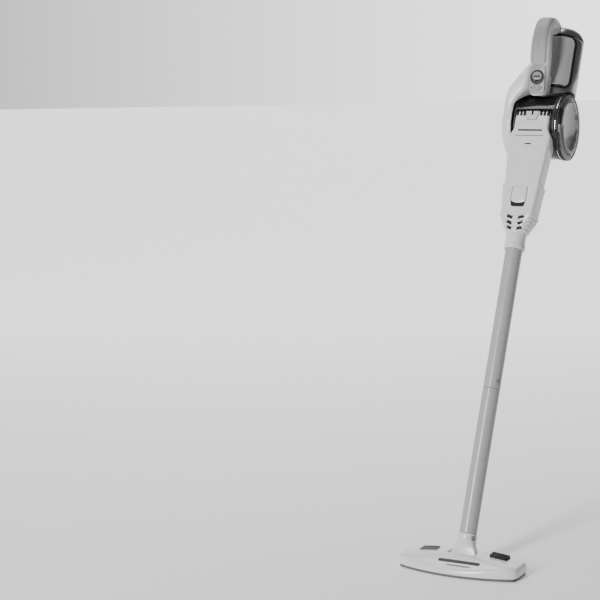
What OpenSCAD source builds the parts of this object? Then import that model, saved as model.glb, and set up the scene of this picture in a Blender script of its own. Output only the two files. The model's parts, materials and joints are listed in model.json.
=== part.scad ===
// Cordless stick vacuum: a pivoting hand unit on an adapter, two tubes and a wide floor head.
// Millimetres, +Z up, X along the floor head, -Y to the front.
// The origin is on the floor under the middle of the head's sole.
// All that leans is drawn upright in the stick's own frame, whose zero is the neck's
// tilting axis, and stick() puts it in place. Heights in that frame end in _s.

/* [Stick] */
// Backward lean of the stick from upright, degrees
lean = 25; // [20:1:30]
// Outer diameter of the extension tubes
tube_d = 35; // [34:0.5:37]
// Wall of the extension tubes
tube_wall = 2.2; // [2:0.1:2.4]
// Length of one extension tube without its spigot
tube_len = 296; // [250:2:320]
// Length of the spigots that join the tubes
spigot_len = 30; // [24:1:34]

/* [Floor head] */
// Width of the floor head
head_w = 250; // [240:2:270]
// Depth of the floor head at its middle
head_d = 90; // [88:1:96]
// Height of the floor head at its middle
head_h = 34; // [33:0.5:38]
// How far the front edge bulges past its corners
head_bulge = 25; // [18:1:28]
// How far the top falls from the middle to the ends
head_crown = 11; // [8:1:12]
// Radius of the wheels
wheel_r = 9; // [8:0.5:9]

/* [Dust bowl] */
// Outer radius of the bowl's flange ring
bowl_r = 70; // [68:1:71]
// Distance of the bowl's axis behind the stick's axis
bowl_y = 57; // [56:1:59]
// Wall of the clear bowl
bowl_wall = 2.4; // [2:0.2:3]
// Number of folds in the filter
pleats = 36; // [24:2:48]

/* [Nozzle] */
// Half the width of the nozzle at its shoulders
nozzle_shoulder = 46; // [44:0.5:46]
// Half the width of the nozzle's neck over the bowl
nozzle_neck = 37; // [34:0.5:38]
// Half the width of the nozzle's tip
nozzle_tip = 34; // [33:0.5:35]
// Wall of the nozzle
nozzle_wall = 2.4; // [2:0.2:2.6]

/* [Hand unit] */
// Radius of the motor housing's rounded sides
housing_r = 45; // [43:0.5:45]
// Wall of the motor housing
housing_wall = 2.5; // [2:0.1:3]
// Half the width of the handle
grip_half = 19; // [17:0.5:20]
// Half the thickness of the handle
grip_thick = 15; // [14:0.5:15]
// Travel of the power slider
slider_travel = 6; // [4:0.5:6]
// Radius of the charging socket
socket_r = 2.8; // [2.5:0.1:3]

/* [Hidden] */
$fn = 48;
soft_fn = 32;
// Clearance between parts of one body, and between parts that move past each other
seam = 0.1;
clear = 0.4;
// Radial play of a pin or shaft in its bore
play = 0.05;
big = 400;

// Where the neck tilts
pivot_y = 20;
pivot_z = 20;
pivot_pin_r = 3;
barrel_r = 12;
barrel_half = 29;

// Heights along the stick
neck_top_s = 49;
joint_s = neck_top_s + tube_len;
collar_s = joint_s + tube_len;
cone_s = collar_s + 31;
sleeve_s = cone_s + 40;
sleeve_top_s = sleeve_s + 67;
tip_s = sleeve_s + 24;
bowl_s = collar_s + 295;
shoulder_s = bowl_s - 50;
narrow_s = bowl_s - 33;
nozzle_top_s = bowl_s + 5;
housing_s = bowl_s + 74;
housing_end_s = bowl_s + 192;
cap_end_s = bowl_s + 218;

tube_r = tube_d / 2;
tube_in_r = tube_r - tube_wall;
spigot_r = tube_in_r - play;
spigot_in_r = spigot_r - 2;

// Nozzle, front and back faces
nozzle_front = -20;
nozzle_back = 18;
nozzle_split = -2;
sleeve_wall = 2.6;

// Bowl, along X
bowl_left = -46;
bowl_right = 44;
ring_right = 50;
door_left = 51;
door_right = 59;
shell_r = bowl_r - 2;
hub_r = 32;
swing_r = bowl_r + 3.5;

// Side arm, along X
arm_left = -70;
arm_right = -49;
arm_r = 72;

// Housing axis
housing_x = 4;
housing_y = 54;
housing_half = 9;
trim_y = -housing_r / 2;

// Handle centre line: a straight lower part, then one curve over to the foot
grip_low = [-2, bowl_s + 47];
grip_bend = [-21, bowl_s + 110];
grip_foot = [24, bowl_s + 206];
grip_dir = (grip_bend - grip_low) / norm(grip_bend - grip_low);
grip_tilt = atan2(-grip_dir[0], grip_dir[1]);
grip_steps = 14;
panel_half = 13;
slider_at = 40;
button_at = 16;

function bezier(a, b, c, d, t) =
    pow(1 - t, 3) * a + 3 * pow(1 - t, 2) * t * b + 3 * (1 - t) * t * t * c + pow(t, 3) * d;

function grip_point(t) =
    bezier(grip_bend, grip_bend + 60 * grip_dir, [-46, grip_foot[1]], grip_foot, t);

function grip_heading(t) =
    let (v = grip_point(min(t + 0.01, 1)) - grip_point(max(t - 0.01, 0))) v / norm(v);

function outward(v) = [-v[1], v[0]];

// Points beside the handle's centre line, at a distance h to its outer side
function grip_side(h, t0, t1) =
    [for (i = [0:grip_steps])
        let (t = t0 + (t1 - t0) * i / grip_steps)
        grip_point(t) + h * outward(grip_heading(t))];

function reversed(v) = [for (i = [len(v) - 1:-1:0]) v[i]];

// Frames

module stick() {
    translate([0, pivot_y, pivot_z]) rotate([-lean, 0, 0]) children();
}

module at_bowl() {
    stick() translate([0, bowl_y, bowl_s]) children();
}

module at_housing() {
    stick() translate([housing_x, housing_y, 0]) children();
}

// The handle's flat lower outer face: x across, z along the handle, -y outward
module at_panel(along = 0) {
    start = grip_low + grip_thick * outward(grip_dir) + along * grip_dir;
    stick() translate([0, start[0], start[1]]) rotate([grip_tilt, 0, 0]) children();
}

// A cylinder along X between two places
module x_rod(r, x0, x1) {
    translate([x0, 0, 0]) rotate([0, 90, 0]) cylinder(h = x1 - x0, r = r);
}

module x_tube(r_out, r_in, x0, x1) {
    difference() {
        x_rod(r_out, x0, x1);
        x_rod(r_in, x0 - 1, x1 + 1);
    }
}

// A slab between two planes of y, drawn in x and z
module y_slab(y0, y1) {
    translate([0, y1, 0]) rotate([90, 0, 0]) linear_extrude(y1 - y0) children();
}

// A slab between two planes of x, drawn in y and z
module x_slab(x0, x1) {
    translate([x0, 0, 0]) rotate([90, 0, 90]) linear_extrude(x1 - x0) children();
}

module box(x, y, z) {
    translate([x[0], y[0], z[0]]) cube([x[1] - x[0], y[1] - y[0], z[1] - z[0]]);
}

module rounded2d(w, d, r) {
    square([w - 2 * r, d], center = true);
    square([w, d - 2 * r], center = true);
    for (sx = [-1, 1], sy = [-1, 1]) {
        translate([sx * (w / 2 - r), sy * (d / 2 - r)]) circle(r);
    }
}

// Floor head

mouth_half = 78;
mouth_y = [-30, -9];
bristle_t = 3;
duct_y = [-32, -7];
notch_half = barrel_half + 1;
lug = 5;
wheel_x = 92;
wheel_y = 27;
wheel_half = 5;
axle_r = 1.6;
sole_t = 5;
shell_z = sole_t + seam;
duct_top = 19;
duct_neck = [22, -3];
axle_z = wheel_r + seam;
screw_at = [[-112, -4], [112, -4], [-54, 32], [54, 32]];

module head_plan(inset) {
    front_r = (pow(head_w / 2, 2) + pow(head_bulge, 2)) / (2 * head_bulge);
    intersection() {
        translate([0, front_r - head_d / 2]) circle(front_r - inset, $fn = 180);
        rounded2d(head_w - 2 * inset, head_d - 2 * inset, 14 - inset / 2);
    }
}

// The head's upper form: crowned from end to end and falling to the front
module head_form(inset) {
    crown_r = (pow(head_w / 2, 2) + pow(head_crown, 2)) / (2 * head_crown);
    front = -head_d / 2;
    intersection() {
        linear_extrude(head_h - inset) head_plan(inset);
        translate([0, head_d, head_h - crown_r]) rotate([90, 0, 0])
            cylinder(h = 2 * head_d, r = crown_r - inset, $fn = 180);
        x_slab(-head_w, head_w) polygon([
            [front - 1, -1], [front - 1, 15 - inset], [front + 10, 22 - inset],
            [-8, head_h - inset], [head_d / 2 - 8, head_h - inset],
            [head_d / 2 + 1, head_h - 9 - inset], [head_d / 2 + 1, -1]]);
    }
}

module head_notch(grow) {
    box([-notch_half - grow, notch_half + grow], [pivot_y - 17 - grow, head_d], [-1, big]);
}

module head_shell() color("white") difference() {
    union() {
        difference() {
            head_form(0);
            head_form(2.4);
        }
        intersection() {
            head_form(1);
            difference() {
                head_notch(lug);
                head_notch(0);
            }
        }
        for (p = screw_at) {
            intersection() {
                translate([p[0], p[1], 0]) cylinder(h = head_h, r = 4.5);
                head_form(1);
            }
        }
    }
    head_notch(0);
    box([-head_w, head_w], [-head_d, head_d], [-1, shell_z]);
    translate([0, pivot_y, pivot_z]) x_rod(pivot_pin_r, -notch_half - lug - 1, notch_half + lug + 1);
    for (p = screw_at) {
        translate([p[0], p[1], -1]) cylinder(h = 14, r = 1.6);
    }
    for (sx = [-1, 1]) {
        translate([sx * 74, 0, 0]) head_grille_form(seam);
    }
    box([-duct_neck[0] - seam, duct_neck[0] + seam], [-10, pivot_y - 16], [-1, duct_top + seam]);
}

module head_sole() color("dimgray") difference() {
    union() {
        linear_extrude(sole_t) head_plan(4);
        for (side = [-1, 1], end = [-1, 1]) {
            translate([side * wheel_x + end * (wheel_half + 3.5), wheel_y, 0])
                box([-1.5, 1.5], [-4, 4], [0, axle_z + 3.5]);
        }
    }
    for (side = [-1, 1]) {
        translate([side * wheel_x, wheel_y, axle_z]) x_rod(axle_r + 0.01, -wheel_half - 6, wheel_half + 6);
    }
    box([-mouth_half, mouth_half], mouth_y, [-1, big]);
    box([-notch_half, notch_half], [pivot_y - 14, head_d], [-1, big]);
    for (sx = [-1, 1]) {
        translate([sx * wheel_x, wheel_y, 0])
            box([-wheel_half - 2, wheel_half + 2], [-wheel_r - 2, wheel_r + 2], [-1, big]);
    }
    for (p = screw_at) {
        translate([p[0], p[1], -1]) cylinder(h = big, r = 2.2);
        translate([p[0], p[1], -1]) cylinder(h = 3.5, r = 3.8);
    }
}

// Soft strip round the front and the ends
module head_bumper() color("black") difference() {
    translate([0, 0, 1]) linear_extrude(shell_z - 1 - seam) difference() {
        head_plan(0.4);
        head_plan(4 - seam);
    }
    box([-head_w, head_w], [30, head_d], [-1, big]);
}

module head_bristles() color("gray") {
    for (y = [mouth_y[0] + seam, mouth_y[1] - bristle_t - seam]) {
        box([-mouth_half + seam, mouth_half - seam], [y, y + bristle_t], [0.2, sole_t]);
    }
}

// Funnel that leads from the mouth slot to the neck
module head_duct() color("darkgray") difference() {
    linear_extrude_from(shell_z + seam, duct_top) duct_plan(0);
    linear_extrude_from(-1, duct_top - 2) duct_plan(2);
    box([-mouth_half, mouth_half], mouth_y, [-1, 8]);
}

module linear_extrude_from(z0, z1) {
    translate([0, 0, z0]) linear_extrude(z1 - z0) children();
}

module duct_plan(inset) {
    wide = mouth_half + 3 - inset;
    narrow = duct_neck[0] - inset;
    polygon([
        [-wide, duct_y[0] + inset], [wide, duct_y[0] + inset],
        [wide, duct_y[1] - inset], [narrow, duct_neck[1] - inset],
        [narrow, pivot_y - 17.5 + inset], [-narrow, pivot_y - 17.5 + inset],
        [-narrow, duct_neck[1] - inset], [-wide, duct_y[1] - inset]]);
}

module head_grille_form(grow) {
    box([-17 - grow, 17 + grow], [24 - grow, 36 + grow], [20, head_h - 1.2]);
}

module head_grilles() color("black") {
    for (sx = [-1, 1]) {
        intersection() {
            translate([sx * 74, 0, 0]) head_grille_form(0);
            difference() {
                head_form(0.8);
                head_form(2.6);
            }
        }
    }
}

module sole_screws() color("silver") {
    for (p = screw_at) {
        translate([p[0], p[1], 0.8]) cylinder(h = 1.6, r = 3.4);
        translate([p[0], p[1], 0.8]) cylinder(h = 11, r = 1.55);
    }
}

module wheel(side) {
    translate([side * wheel_x, wheel_y, axle_z])
        x_tube(wheel_r, axle_r + play, -wheel_half, wheel_half);
}

module wheel_left() color("black") wheel(-1);

module wheel_right() color("black") wheel(1);

module wheel_axles() color("silver") {
    for (side = [-1, 1]) {
        translate([side * wheel_x, wheel_y, axle_z]) x_rod(axle_r, -wheel_half - 5, wheel_half + 5);
    }
}

// Neck: a flat triangular web between the tilting barrel and the tube collar

neck_button_turn = 60;

module neck() color("whitesmoke") stick() difference() {
    union() {
        x_rod(barrel_r, -barrel_half, barrel_half);
        y_slab(-10, 10) polygon([
            [-barrel_half, 0], [barrel_half, 0], [19, 36], [-19, 36]]);
        translate([0, 0, 33]) cylinder(h = neck_top_s - 33, r = tube_r + 1.6);
        cylinder(h = neck_top_s + spigot_len, r = spigot_r);
    }
    translate([0, 0, -barrel_r - 1]) cylinder(h = big, r = 7.5);
    translate([0, 0, 30]) cylinder(h = big, r = 11.5);
    for (side = [-1, 1]) {
        x_rod(pivot_pin_r + play, side * 24 - 7, side * 24 + 7);
    }
    rotate([0, 0, neck_button_turn]) translate([0, 0, 41]) rotate([90, 0, 0])
        translate([0, 0, 14]) cylinder(h = 20, r = 4.8);
}

module neck_pins() color("silver") {
    translate([0, pivot_y, pivot_z]) for (side = [-1, 1]) {
        x_rod(pivot_pin_r, side * 26 - 6, side * 26 + 6);
    }
}

module neck_button() color("white") stick()
    rotate([0, 0, neck_button_turn]) translate([0, 0, 41]) rotate([90, 0, 0])
        translate([0, 0, 16.6]) cylinder(h = 3.4, r = 4.4);

// Extension tubes: a plain bore below, a spigot above

tube_button_turn = 60;

module extension_tube() {
    step = 6;
    rotate_extrude() polygon([
        [tube_in_r, 0], [tube_r, 0], [tube_r, tube_len], [spigot_r, tube_len],
        [spigot_r, tube_len + spigot_len], [spigot_in_r, tube_len + spigot_len],
        [spigot_in_r, tube_len - step], [tube_in_r, tube_len - step]]);
}

module tube_button_hole(r) {
    translate([0, 0, joint_s + 16]) rotate([0, 0, tube_button_turn]) rotate([90, 0, 0])
        translate([0, 0, 10]) cylinder(h = 12, r = r);
}

module lower_tube() color("gainsboro") stick() difference() {
    translate([0, 0, neck_top_s + seam]) extension_tube();
    tube_button_hole(4.4);
}

module upper_tube() color("gainsboro") stick() difference() {
    translate([0, 0, joint_s + 2 * seam]) extension_tube();
    tube_button_hole(4.4);
}

module tube_button() color("silver") stick()
    translate([0, 0, joint_s + 16]) rotate([0, 0, tube_button_turn]) rotate([90, 0, 0])
        translate([0, 0, 12.6]) cylinder(h = 5.4, r = 4);

// Nozzle outline in x and s; grow widens it on each side

function nozzle_half(s) =
    nozzle_tip + (nozzle_shoulder - nozzle_tip) * (s - tip_s) / (shoulder_s - tip_s);

module nozzle2d(grow, low_s, high_s) {
    low = nozzle_half(low_s) + grow;
    wide = nozzle_shoulder + grow;
    thin = nozzle_neck + grow;
    polygon([
        [-low, low_s], [low, low_s], [wide, shoulder_s], [thin, narrow_s], [thin, high_s],
        [-thin, high_s], [-thin, narrow_s], [-wide, shoulder_s]]);
}

// What the bowl and its ring take out of the nozzle
module bowl_cut() {
    translate([0, bowl_y, bowl_s]) {
        x_rod(shell_r + seam, -big, big);
        x_rod(bowl_r + 8, bowl_right - clear - seam, big);
    }
}

module nozzle_tray(y0, y1, cavity_y0, cavity_y1) {
    difference() {
        y_slab(y0, y1) nozzle2d(0, tip_s, nozzle_top_s);
        y_slab(cavity_y0, cavity_y1) nozzle2d(-nozzle_wall, tip_s - 1, nozzle_top_s - 3);
        bowl_cut();
    }
}

module nozzle_cover() color("white") stick() difference() {
    nozzle_tray(nozzle_front, nozzle_split, nozzle_front + nozzle_wall, nozzle_split + 1);
    tip_window_form(seam);
}

module nozzle_base() color("white") stick() difference() {
    union() {
        nozzle_tray(nozzle_split + seam, nozzle_back, nozzle_split - 1, nozzle_back - nozzle_wall);
        saddle();
    }
    crevice_button_form(6.4);
}

// Wall of the base that follows the bowl, open at the inlet
module saddle() difference() {
    intersection() {
        y_slab(nozzle_split + seam, nozzle_back) nozzle2d(0, tip_s, nozzle_top_s);
        translate([0, bowl_y, bowl_s]) x_tube(shell_r + 2.6, shell_r + seam, -big, big);
    }
    bowl_cut();
    box([-inlet_half, inlet_half], [-big, big], [bowl_s - 48, bowl_s]);
}

module nozzle_clip() color("darkgray") stick()
    y_slab(nozzle_front - 2.2, nozzle_front - seam) polygon([
        [-11, bowl_s - 18], [11, bowl_s - 18], [16, nozzle_top_s], [-16, nozzle_top_s]]);

module tip_window_form(grow) {
    box([-24 - grow, 24 + grow], [nozzle_front - 1, nozzle_front + 3],
        [tip_s + 3 - grow, tip_s + 26 + grow]);
}

module tip_window() color("dimgray") stick() intersection() {
    tip_window_form(0);
    box([-big, big], [nozzle_front, nozzle_front + nozzle_wall], [0, 2 * big]);
}

// Pull-out crevice tool stowed in the nozzle
module crevice_tool() color("gray") stick() difference() {
    box([-28, 28], [nozzle_front + 5, nozzle_back - 5], [tip_s + 4, tip_s + 120]);
    box([-26, 26], [nozzle_front + 7, nozzle_back - 7], [tip_s, tip_s + 130]);
}

module crevice_button_form(r) {
    translate([0, 8, tip_s + 82]) x_rod(r, -60, -35.5);
}

module crevice_button() color("dimgray") stick()
    translate([0, 8, tip_s + 82]) x_rod(6, -nozzle_half(tip_s + 82) - 1.4, -36.5);

// Adapter: sleeve round the nozzle tip, cone and round collar

latch_half = 16;
latch_s = [sleeve_s + 25, sleeve_s + 60];
latch_gap = 6;

module sleeve_outline(grow, s0, s1) {
    polygon([
        [-nozzle_half(s0) - grow, s0], [nozzle_half(s0) + grow, s0],
        [nozzle_half(s1) + grow, s1], [-nozzle_half(s1) - grow, s1]]);
}

module adapter() color("whitesmoke") stick() difference() {
    out = clear + sleeve_wall;
    union() {
        y_slab(nozzle_front - out, nozzle_back + out) sleeve_outline(out, sleeve_s, sleeve_top_s);
        y_slab(nozzle_front - out - 1, nozzle_back + out + 1)
            sleeve_outline(out + 1, sleeve_top_s - 6, sleeve_top_s);
        hull() {
            y_slab(nozzle_front - out, nozzle_back + out) sleeve_outline(out, sleeve_s, sleeve_s + 1);
            translate([0, 0, cone_s]) cylinder(h = 1, r = tube_r + 3, $fn = soft_fn);
        }
        translate([0, 0, collar_s + 3 * seam]) cylinder(h = cone_s - collar_s, r = tube_r + 3);
        translate([0, 0, collar_s + 3 * seam]) cylinder(h = 11, r = tube_r + 4.2);
    }
    y_slab(nozzle_front - clear, nozzle_back + clear)
        sleeve_outline(clear, sleeve_s, sleeve_top_s + 1);
    hull() {
        y_slab(nozzle_front - clear, nozzle_back + clear) sleeve_outline(clear, sleeve_s, sleeve_s + 0.1);
        translate([0, 0, cone_s]) cylinder(h = 1, r = spigot_in_r, $fn = soft_fn);
    }
    translate([0, 0, collar_s - 1]) cylinder(h = cone_s - collar_s + 3, r = spigot_r + play);
    box([-latch_half - clear, latch_half + clear], [nozzle_front - 9, nozzle_front - clear + 0.2],
        [latch_s[0] - latch_gap, latch_s[1] + clear]);
}

module adapter_latch() color("whitesmoke") stick() {
    face = nozzle_front - clear - sleeve_wall;
    box([-latch_half, latch_half], [face - 0.6, face + 1.8], latch_s);
}

// Dust bowl

inlet_half = 30;

module bowl_shell() color("slategray", 0.5) at_bowl() difference() {
    x_rod(shell_r, bowl_left, bowl_right);
    x_rod(shell_r - bowl_wall, bowl_left + 3, bowl_right + 1);
    x_rod(hub_r + play, bowl_left - 1, bowl_left + 4);
    box([-inlet_half, inlet_half], [-big, -20], [-48, -14]);
}

module bowl_ring() color("gray") at_bowl()
    x_tube(bowl_r, shell_r - bowl_wall - 3, bowl_right, ring_right);

module bowl_gasket() color("black") at_bowl()
    x_tube(bowl_r - 2, bowl_r - 6, ring_right, ring_right + 0.8);

hinge_turn = 45;
hinge_r = 73;
hinge_pin_r = 1.6;
knuckle_r = 3.6;
door_button_at = 56;

// A frame on the bowl's rim at the hinge: y points outward, z runs along the hinge
module at_hinge(x = 0) {
    at_bowl() rotate([180 + hinge_turn, 0, 0]) translate([x, hinge_r, 0]) children();
}

module knuckle(z0, z1, r) {
    at_hinge(door_left + 3) translate([0, 0, z0]) cylinder(h = z1 - z0, r = r);
}

// Clear door with a stepped rim, and the middle knuckle of its hinge
module bowl_door() color("lightgray", 0.6) difference() {
    union() {
        at_bowl() rotate([0, 90, 0]) rotate_extrude() polygon([
            [0, door_right - 3], [40, door_right - 3], [50, door_right], [54, door_right],
            [bowl_r, door_left + 3], [bowl_r, door_left], [bowl_r - 3, door_left],
            [bowl_r - 3, door_left + 2], [53, door_right - 2.2], [50, door_right - 2.2],
            [41, door_right - 5.2], [0, door_right - 5.2]]);
        knuckle(-8, 8, knuckle_r);
        at_hinge() box([door_left, door_left + 2.6], [-6, 0], [-8, 8]);
    }
    knuckle(-9, 9, hinge_pin_r + play + 0.03);
    knuckle(8.2, 21, knuckle_r + 0.3);
    knuckle(-21, -8.2, knuckle_r + 0.3);
    at_bowl() rotate([hinge_turn, 0, 0]) translate([0, door_button_at, 0])
        x_rod(6.4, door_left - 1, door_right + 1);
}

// Outer knuckles, crescent cover plate and pin, fixed to the bowl's ring
module door_hinge() color("gray") union() {
    difference() {
        union() {
            knuckle(-20, -8.4, knuckle_r);
            knuckle(8.4, 20, knuckle_r);
            for (z = [[-20, -8.4], [8.4, 20]]) {
                at_hinge() box([bowl_right, door_left + 3], [-2.2, 2.6], z);
            }
            at_hinge() box([bowl_right, ring_right], [-2.2, 2.6], [-20, 20]);
        }
        knuckle(-21, 21, hinge_pin_r);
        at_bowl() x_rod(bowl_r + seam, bowl_right - 1, door_right);
    }
    knuckle(-19.5, 19.5, hinge_pin_r - 0.01);
}

module door_button() color("gray") at_bowl() rotate([hinge_turn, 0, 0])
    translate([0, door_button_at, 0]) x_rod(6, door_left + 1, door_right + 0.6);

// Rubber flap that closes the inlet from inside
flap_turn = 208;
flap_r = 62.6;
flap_half = 17;

module inlet_flap() color("black") at_bowl() rotate([flap_turn, 0, 0])
    box([-inlet_half - 3, inlet_half + 3], [flap_r - 1.6, flap_r], [-flap_half, flap_half]);

module filter_cup() color("silver") at_bowl() rotate([0, 90, 0]) rotate_extrude() polygon([
    [0, 40], [8, 40], [44, 46], [47, 46], [47, 4], [45, 4], [45, 43], [8, 38], [0, 38]]);

module filter_pleats() color("whitesmoke") at_bowl() translate([-40, 0, 0])
    rotate([90, 0, 90]) linear_extrude(42) difference() {
        polygon([for (i = [0:2 * pleats - 1])
            let (a = 180 * i / pleats, r = i % 2 == 0 ? 41 : 36)
            [r * cos(a), r * sin(a)]]);
        circle(24);
    }

module filter_screen() color("dimgray") at_bowl() x_tube(44.5, 43, bowl_left + 3 + seam, 3.5);

// Hand unit

module body2d(inset) {
    r = housing_r - inset;
    translate([-housing_half, 0]) circle(r);
    translate([housing_half, 0]) circle(r);
    square([2 * housing_half, 2 * r], center = true);
}

module body_prism(inset, s0, s1) {
    at_housing() translate([0, 0, s0]) linear_extrude(s1 - s0) body2d(inset);
}

module swing_room(grow = 0) {
    at_bowl() x_rod(swing_r + grow, -big, big);
}

// Disc beside the bowl, and the shoulder that carries it from the housing
module side_arm() color("white") difference() {
    union() {
        at_bowl() x_rod(arm_r, arm_left, arm_right);
        stick() intersection() {
            x_slab(arm_left, -40) polygon([
                [bowl_y - 52, bowl_s + 44], [bowl_y + 44, bowl_s + 44],
                [housing_y + 26, housing_s + 46], [housing_y - 32, housing_s + 46]]);
            y_slab(-big, big) polygon([
                [arm_left, bowl_s], [arm_left, bowl_s + 66], [-52, housing_s + 46],
                [-30, housing_s + 46], [-30, bowl_s + 72], [arm_right, bowl_s + 72], [arm_right, bowl_s]]);
        }
        wing();
    }
    at_bowl() x_rod(swing_r + 0.5, arm_right, big);
    at_bowl() x_rod(arm_r - 3, arm_left + 3, arm_right + 1);
    body_prism(-0.8, housing_s - 60, housing_end_s);
    air_path();
}

// Wing from the disc up to the left side of the grip's foot
module wing() stick() intersection() {
    y_slab(-big, big) polygon([
        [arm_left, bowl_s], [arm_left, bowl_s + 39], [-57, bowl_s + 66], [-42, bowl_s + 86],
        [-28, bowl_s + 100], [-grip_half - seam, bowl_s + 106], [-grip_half - seam, bowl_s + 50],
        [arm_right, bowl_s + 10]]);
    x_slab(arm_left, 0) polygon([
        [-29, bowl_s + 110], [-22, bowl_s + 64], [-12, bowl_s + 24], [0, bowl_s], [30, bowl_s],
        [30, bowl_s + 80], [-2, bowl_s + 110]]);
}

// Air passage from the disc, up the shoulder and through the housing's side
module air_path() stick() y_slab(housing_y - 15, housing_y + 15) polygon([
    [arm_left + 4, bowl_s + 40], [arm_left + 4, bowl_s + 62], [-59.5, bowl_s + 88],
    [-40, bowl_s + 88], [-40, bowl_s + 77], [-53, bowl_s + 77], [-56, bowl_s + 62],
    [-56, bowl_s + 40]]);

// Hollow hub that the bowl turns on, and that the air leaves it through
module pivot_hub() color("darkgray") at_bowl() {
    x_tube(hub_r, hub_r - 4, arm_left + 3 + seam, bowl_left + 2.5);
    x_tube(hub_r + 6, hub_r - 1, arm_left + 3 + seam, arm_left + 5);
}

module collar_form(inset) {
    body_prism(2 + inset, bowl_s + 54, housing_s + inset);
}

module housing_collar() color("gray") difference() {
    collar_form(0);
    body_prism(5, bowl_s + 40, housing_s + 4);
    swing_room();
}

module below_trim(s0, s1) {
    at_housing() box([-big, big], [trim_y, big], [s0, s1]);
}

module above_trim(s0, s1, y) {
    at_housing() box([-big, big], [-big, y], [s0, s1]);
}

module motor_housing() color("silver") intersection() {
    difference() {
        body_prism(0, housing_s + seam, housing_end_s);
        body_prism(housing_wall, housing_s - 1, housing_end_s + 1);
        at_socket() cylinder(h = 20, r = socket_body_r + seam, center = true);
        air_path();
    }
    below_trim(0, 2 * big + 1000);
}

module trim_strips() color("gold") intersection() {
    difference() {
        body_prism(-0.6, housing_s + seam, housing_end_s);
        body_prism(housing_wall, housing_s - 1, housing_end_s + 1);
    }
    at_housing() box([-big, big], [trim_y - 2.4, trim_y - seam], [0, 2 * big + 1000]);
}

module top_shell() color("white") intersection() {
    difference() {
        body_prism(0, housing_s + seam, housing_end_s);
        body_prism(housing_wall, housing_s - 1, housing_end_s + 1);
    }
    above_trim(0, 2 * big + 1000, trim_y - 2.4 - seam);
}

cap_screw_at = [-28, 28];

module rear_cap() color("silver") difference() {
    hull() {
        body_prism(0, housing_end_s + seam, housing_end_s + 4, $fn = soft_fn);
        body_prism(7, housing_end_s + 16, housing_end_s + 17, $fn = soft_fn);
        body_prism(20, cap_end_s - 1, cap_end_s, $fn = soft_fn);
    }
    body_prism(9, housing_end_s - 1, housing_end_s + 11);
    for (i = [-2:2]) {
        at_housing() box([-16, 16], [i * 8 - 1.5, i * 8 + 1.5], [housing_end_s, cap_end_s + 1]);
    }
    for (x = cap_screw_at) {
        at_housing() translate([x, 0, housing_end_s]) cylinder(h = 30, r = 3.2);
    }
    at_housing() box([30, big], [-2, 2], [housing_end_s + 2, housing_end_s + 9]);
}

module cap_screws() color("dimgray") {
    for (x = cap_screw_at) {
        at_housing() translate([x, 0, housing_end_s + 11.2]) cylinder(h = 3, r = 3);
        at_housing() translate([x, 0, housing_end_s - 6]) cylinder(h = 18, r = 1.5);
    }
}

// Handle

// The handle's side outline at half thickness h; the root fills in its lower end
module grip2d(h, root = []) {
    side = h * outward(grip_dir);
    polygon(concat(
        [grip_low + side], grip_side(h, 0, 1), [grip_foot + [12, h]],
        [grip_foot + [12, -h]], reversed(grip_side(-h, 0, 1)), root, [grip_low - side]));
}

grip_root = [
    grip_low + 50 * grip_dir - grip_thick * outward(grip_dir),
    [8, bowl_s + 97], [30, bowl_s + 99], [30, bowl_s + 62]
];

// Insets and heights of the steps that let the foot sit on the rear cap
foot_steps = [[3, 16.5], [6, 22], [12, 26.5]];

module handle_half(x0, x1, in0, in1) {
    difference() {
        stick() x_slab(x0, x1) grip2d(grip_thick, grip_root);
        stick() x_slab(in0, in1) intersection() {
            grip2d(grip_thick - 2.6);
            translate([-big, bowl_s + 66]) square([2 * big, big]);
        }
        body_prism(-seam, bowl_s, housing_end_s + 10);
        for (step = foot_steps) {
            body_prism(step[0], bowl_s, housing_end_s + step[1]);
        }
        swing_room(0.6);
        collar_form(-seam);
        at_panel(slider_at) box([-4.6, 4.6], [-1, 8], [-slider_travel - 5, 5.5]);
        at_panel(button_at) box([-8.4, 8.4], [-1, 8], [-5.4, 5.4]);
    }
}

module handle_left() color("white")
    handle_half(-grip_half, -seam / 2, -grip_half + 2.6, 0);

module handle_right() color("white")
    handle_half(seam / 2, grip_half, 0, grip_half - 2.6);

module grip_inlay() color("darkgray") stick() x_slab(-11, 11)
    polygon(concat(
        grip_side(grip_thick + 1.4, 0.08, 0.8), reversed(grip_side(grip_thick + 0.25, 0.08, 0.8))));

module control_panel() color("gray") difference() {
    at_panel() translate([0, -seam, 33]) rotate([90, 0, 0])
        linear_extrude(1.6) rounded2d(2 * panel_half, 58, 9);
    at_panel(slider_at) box([-4.6, 4.6], [-9, 8], [-slider_travel - 5, 5.5]);
    at_panel(button_at) box([-8.4, 8.4], [-9, 8], [-5.4, 5.4]);
}

module power_slider() color("dimgray") at_panel(slider_at) {
    box([-8.5, 8.5], [-4.6, -2.1], [-6, 8]);
    box([-4.2, 4.2], [-2.2, 4], [-4.5, 5]);
}

module pivot_button() color("dimgray") at_panel(button_at)
    box([-8, 8], [-3.6, 3.2], [-5, 5]);

module switch_block() color("black") at_panel(slider_at)
    box([-7, 7], [8.4, 15], [-10, 8]);

module circuit_board() color("green") at_panel(34) box([-14, 14], [15.4, 17], [-12, 26]);

// Drive inside the housing

motor_s = housing_s + 28;
motor_r = 20;
fan_s = housing_s + 10;

module motor_can() color("silver") at_housing() difference() {
    translate([0, 0, motor_s]) cylinder(h = 44, r = motor_r);
    translate([0, 0, motor_s - 1]) cylinder(h = 60, r = 2.5 + play);
}

module motor_mount() color("black") at_housing() difference() {
    translate([0, 0, motor_s + 4]) linear_extrude(6) body2d(housing_wall + 0.3);
    translate([0, 0, motor_s]) cylinder(h = 20, r = motor_r + seam);
    for (a = [45:90:315]) {
        rotate([0, 0, a]) translate([31, 0, motor_s]) cylinder(h = 20, r = 7);
    }
}

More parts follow.
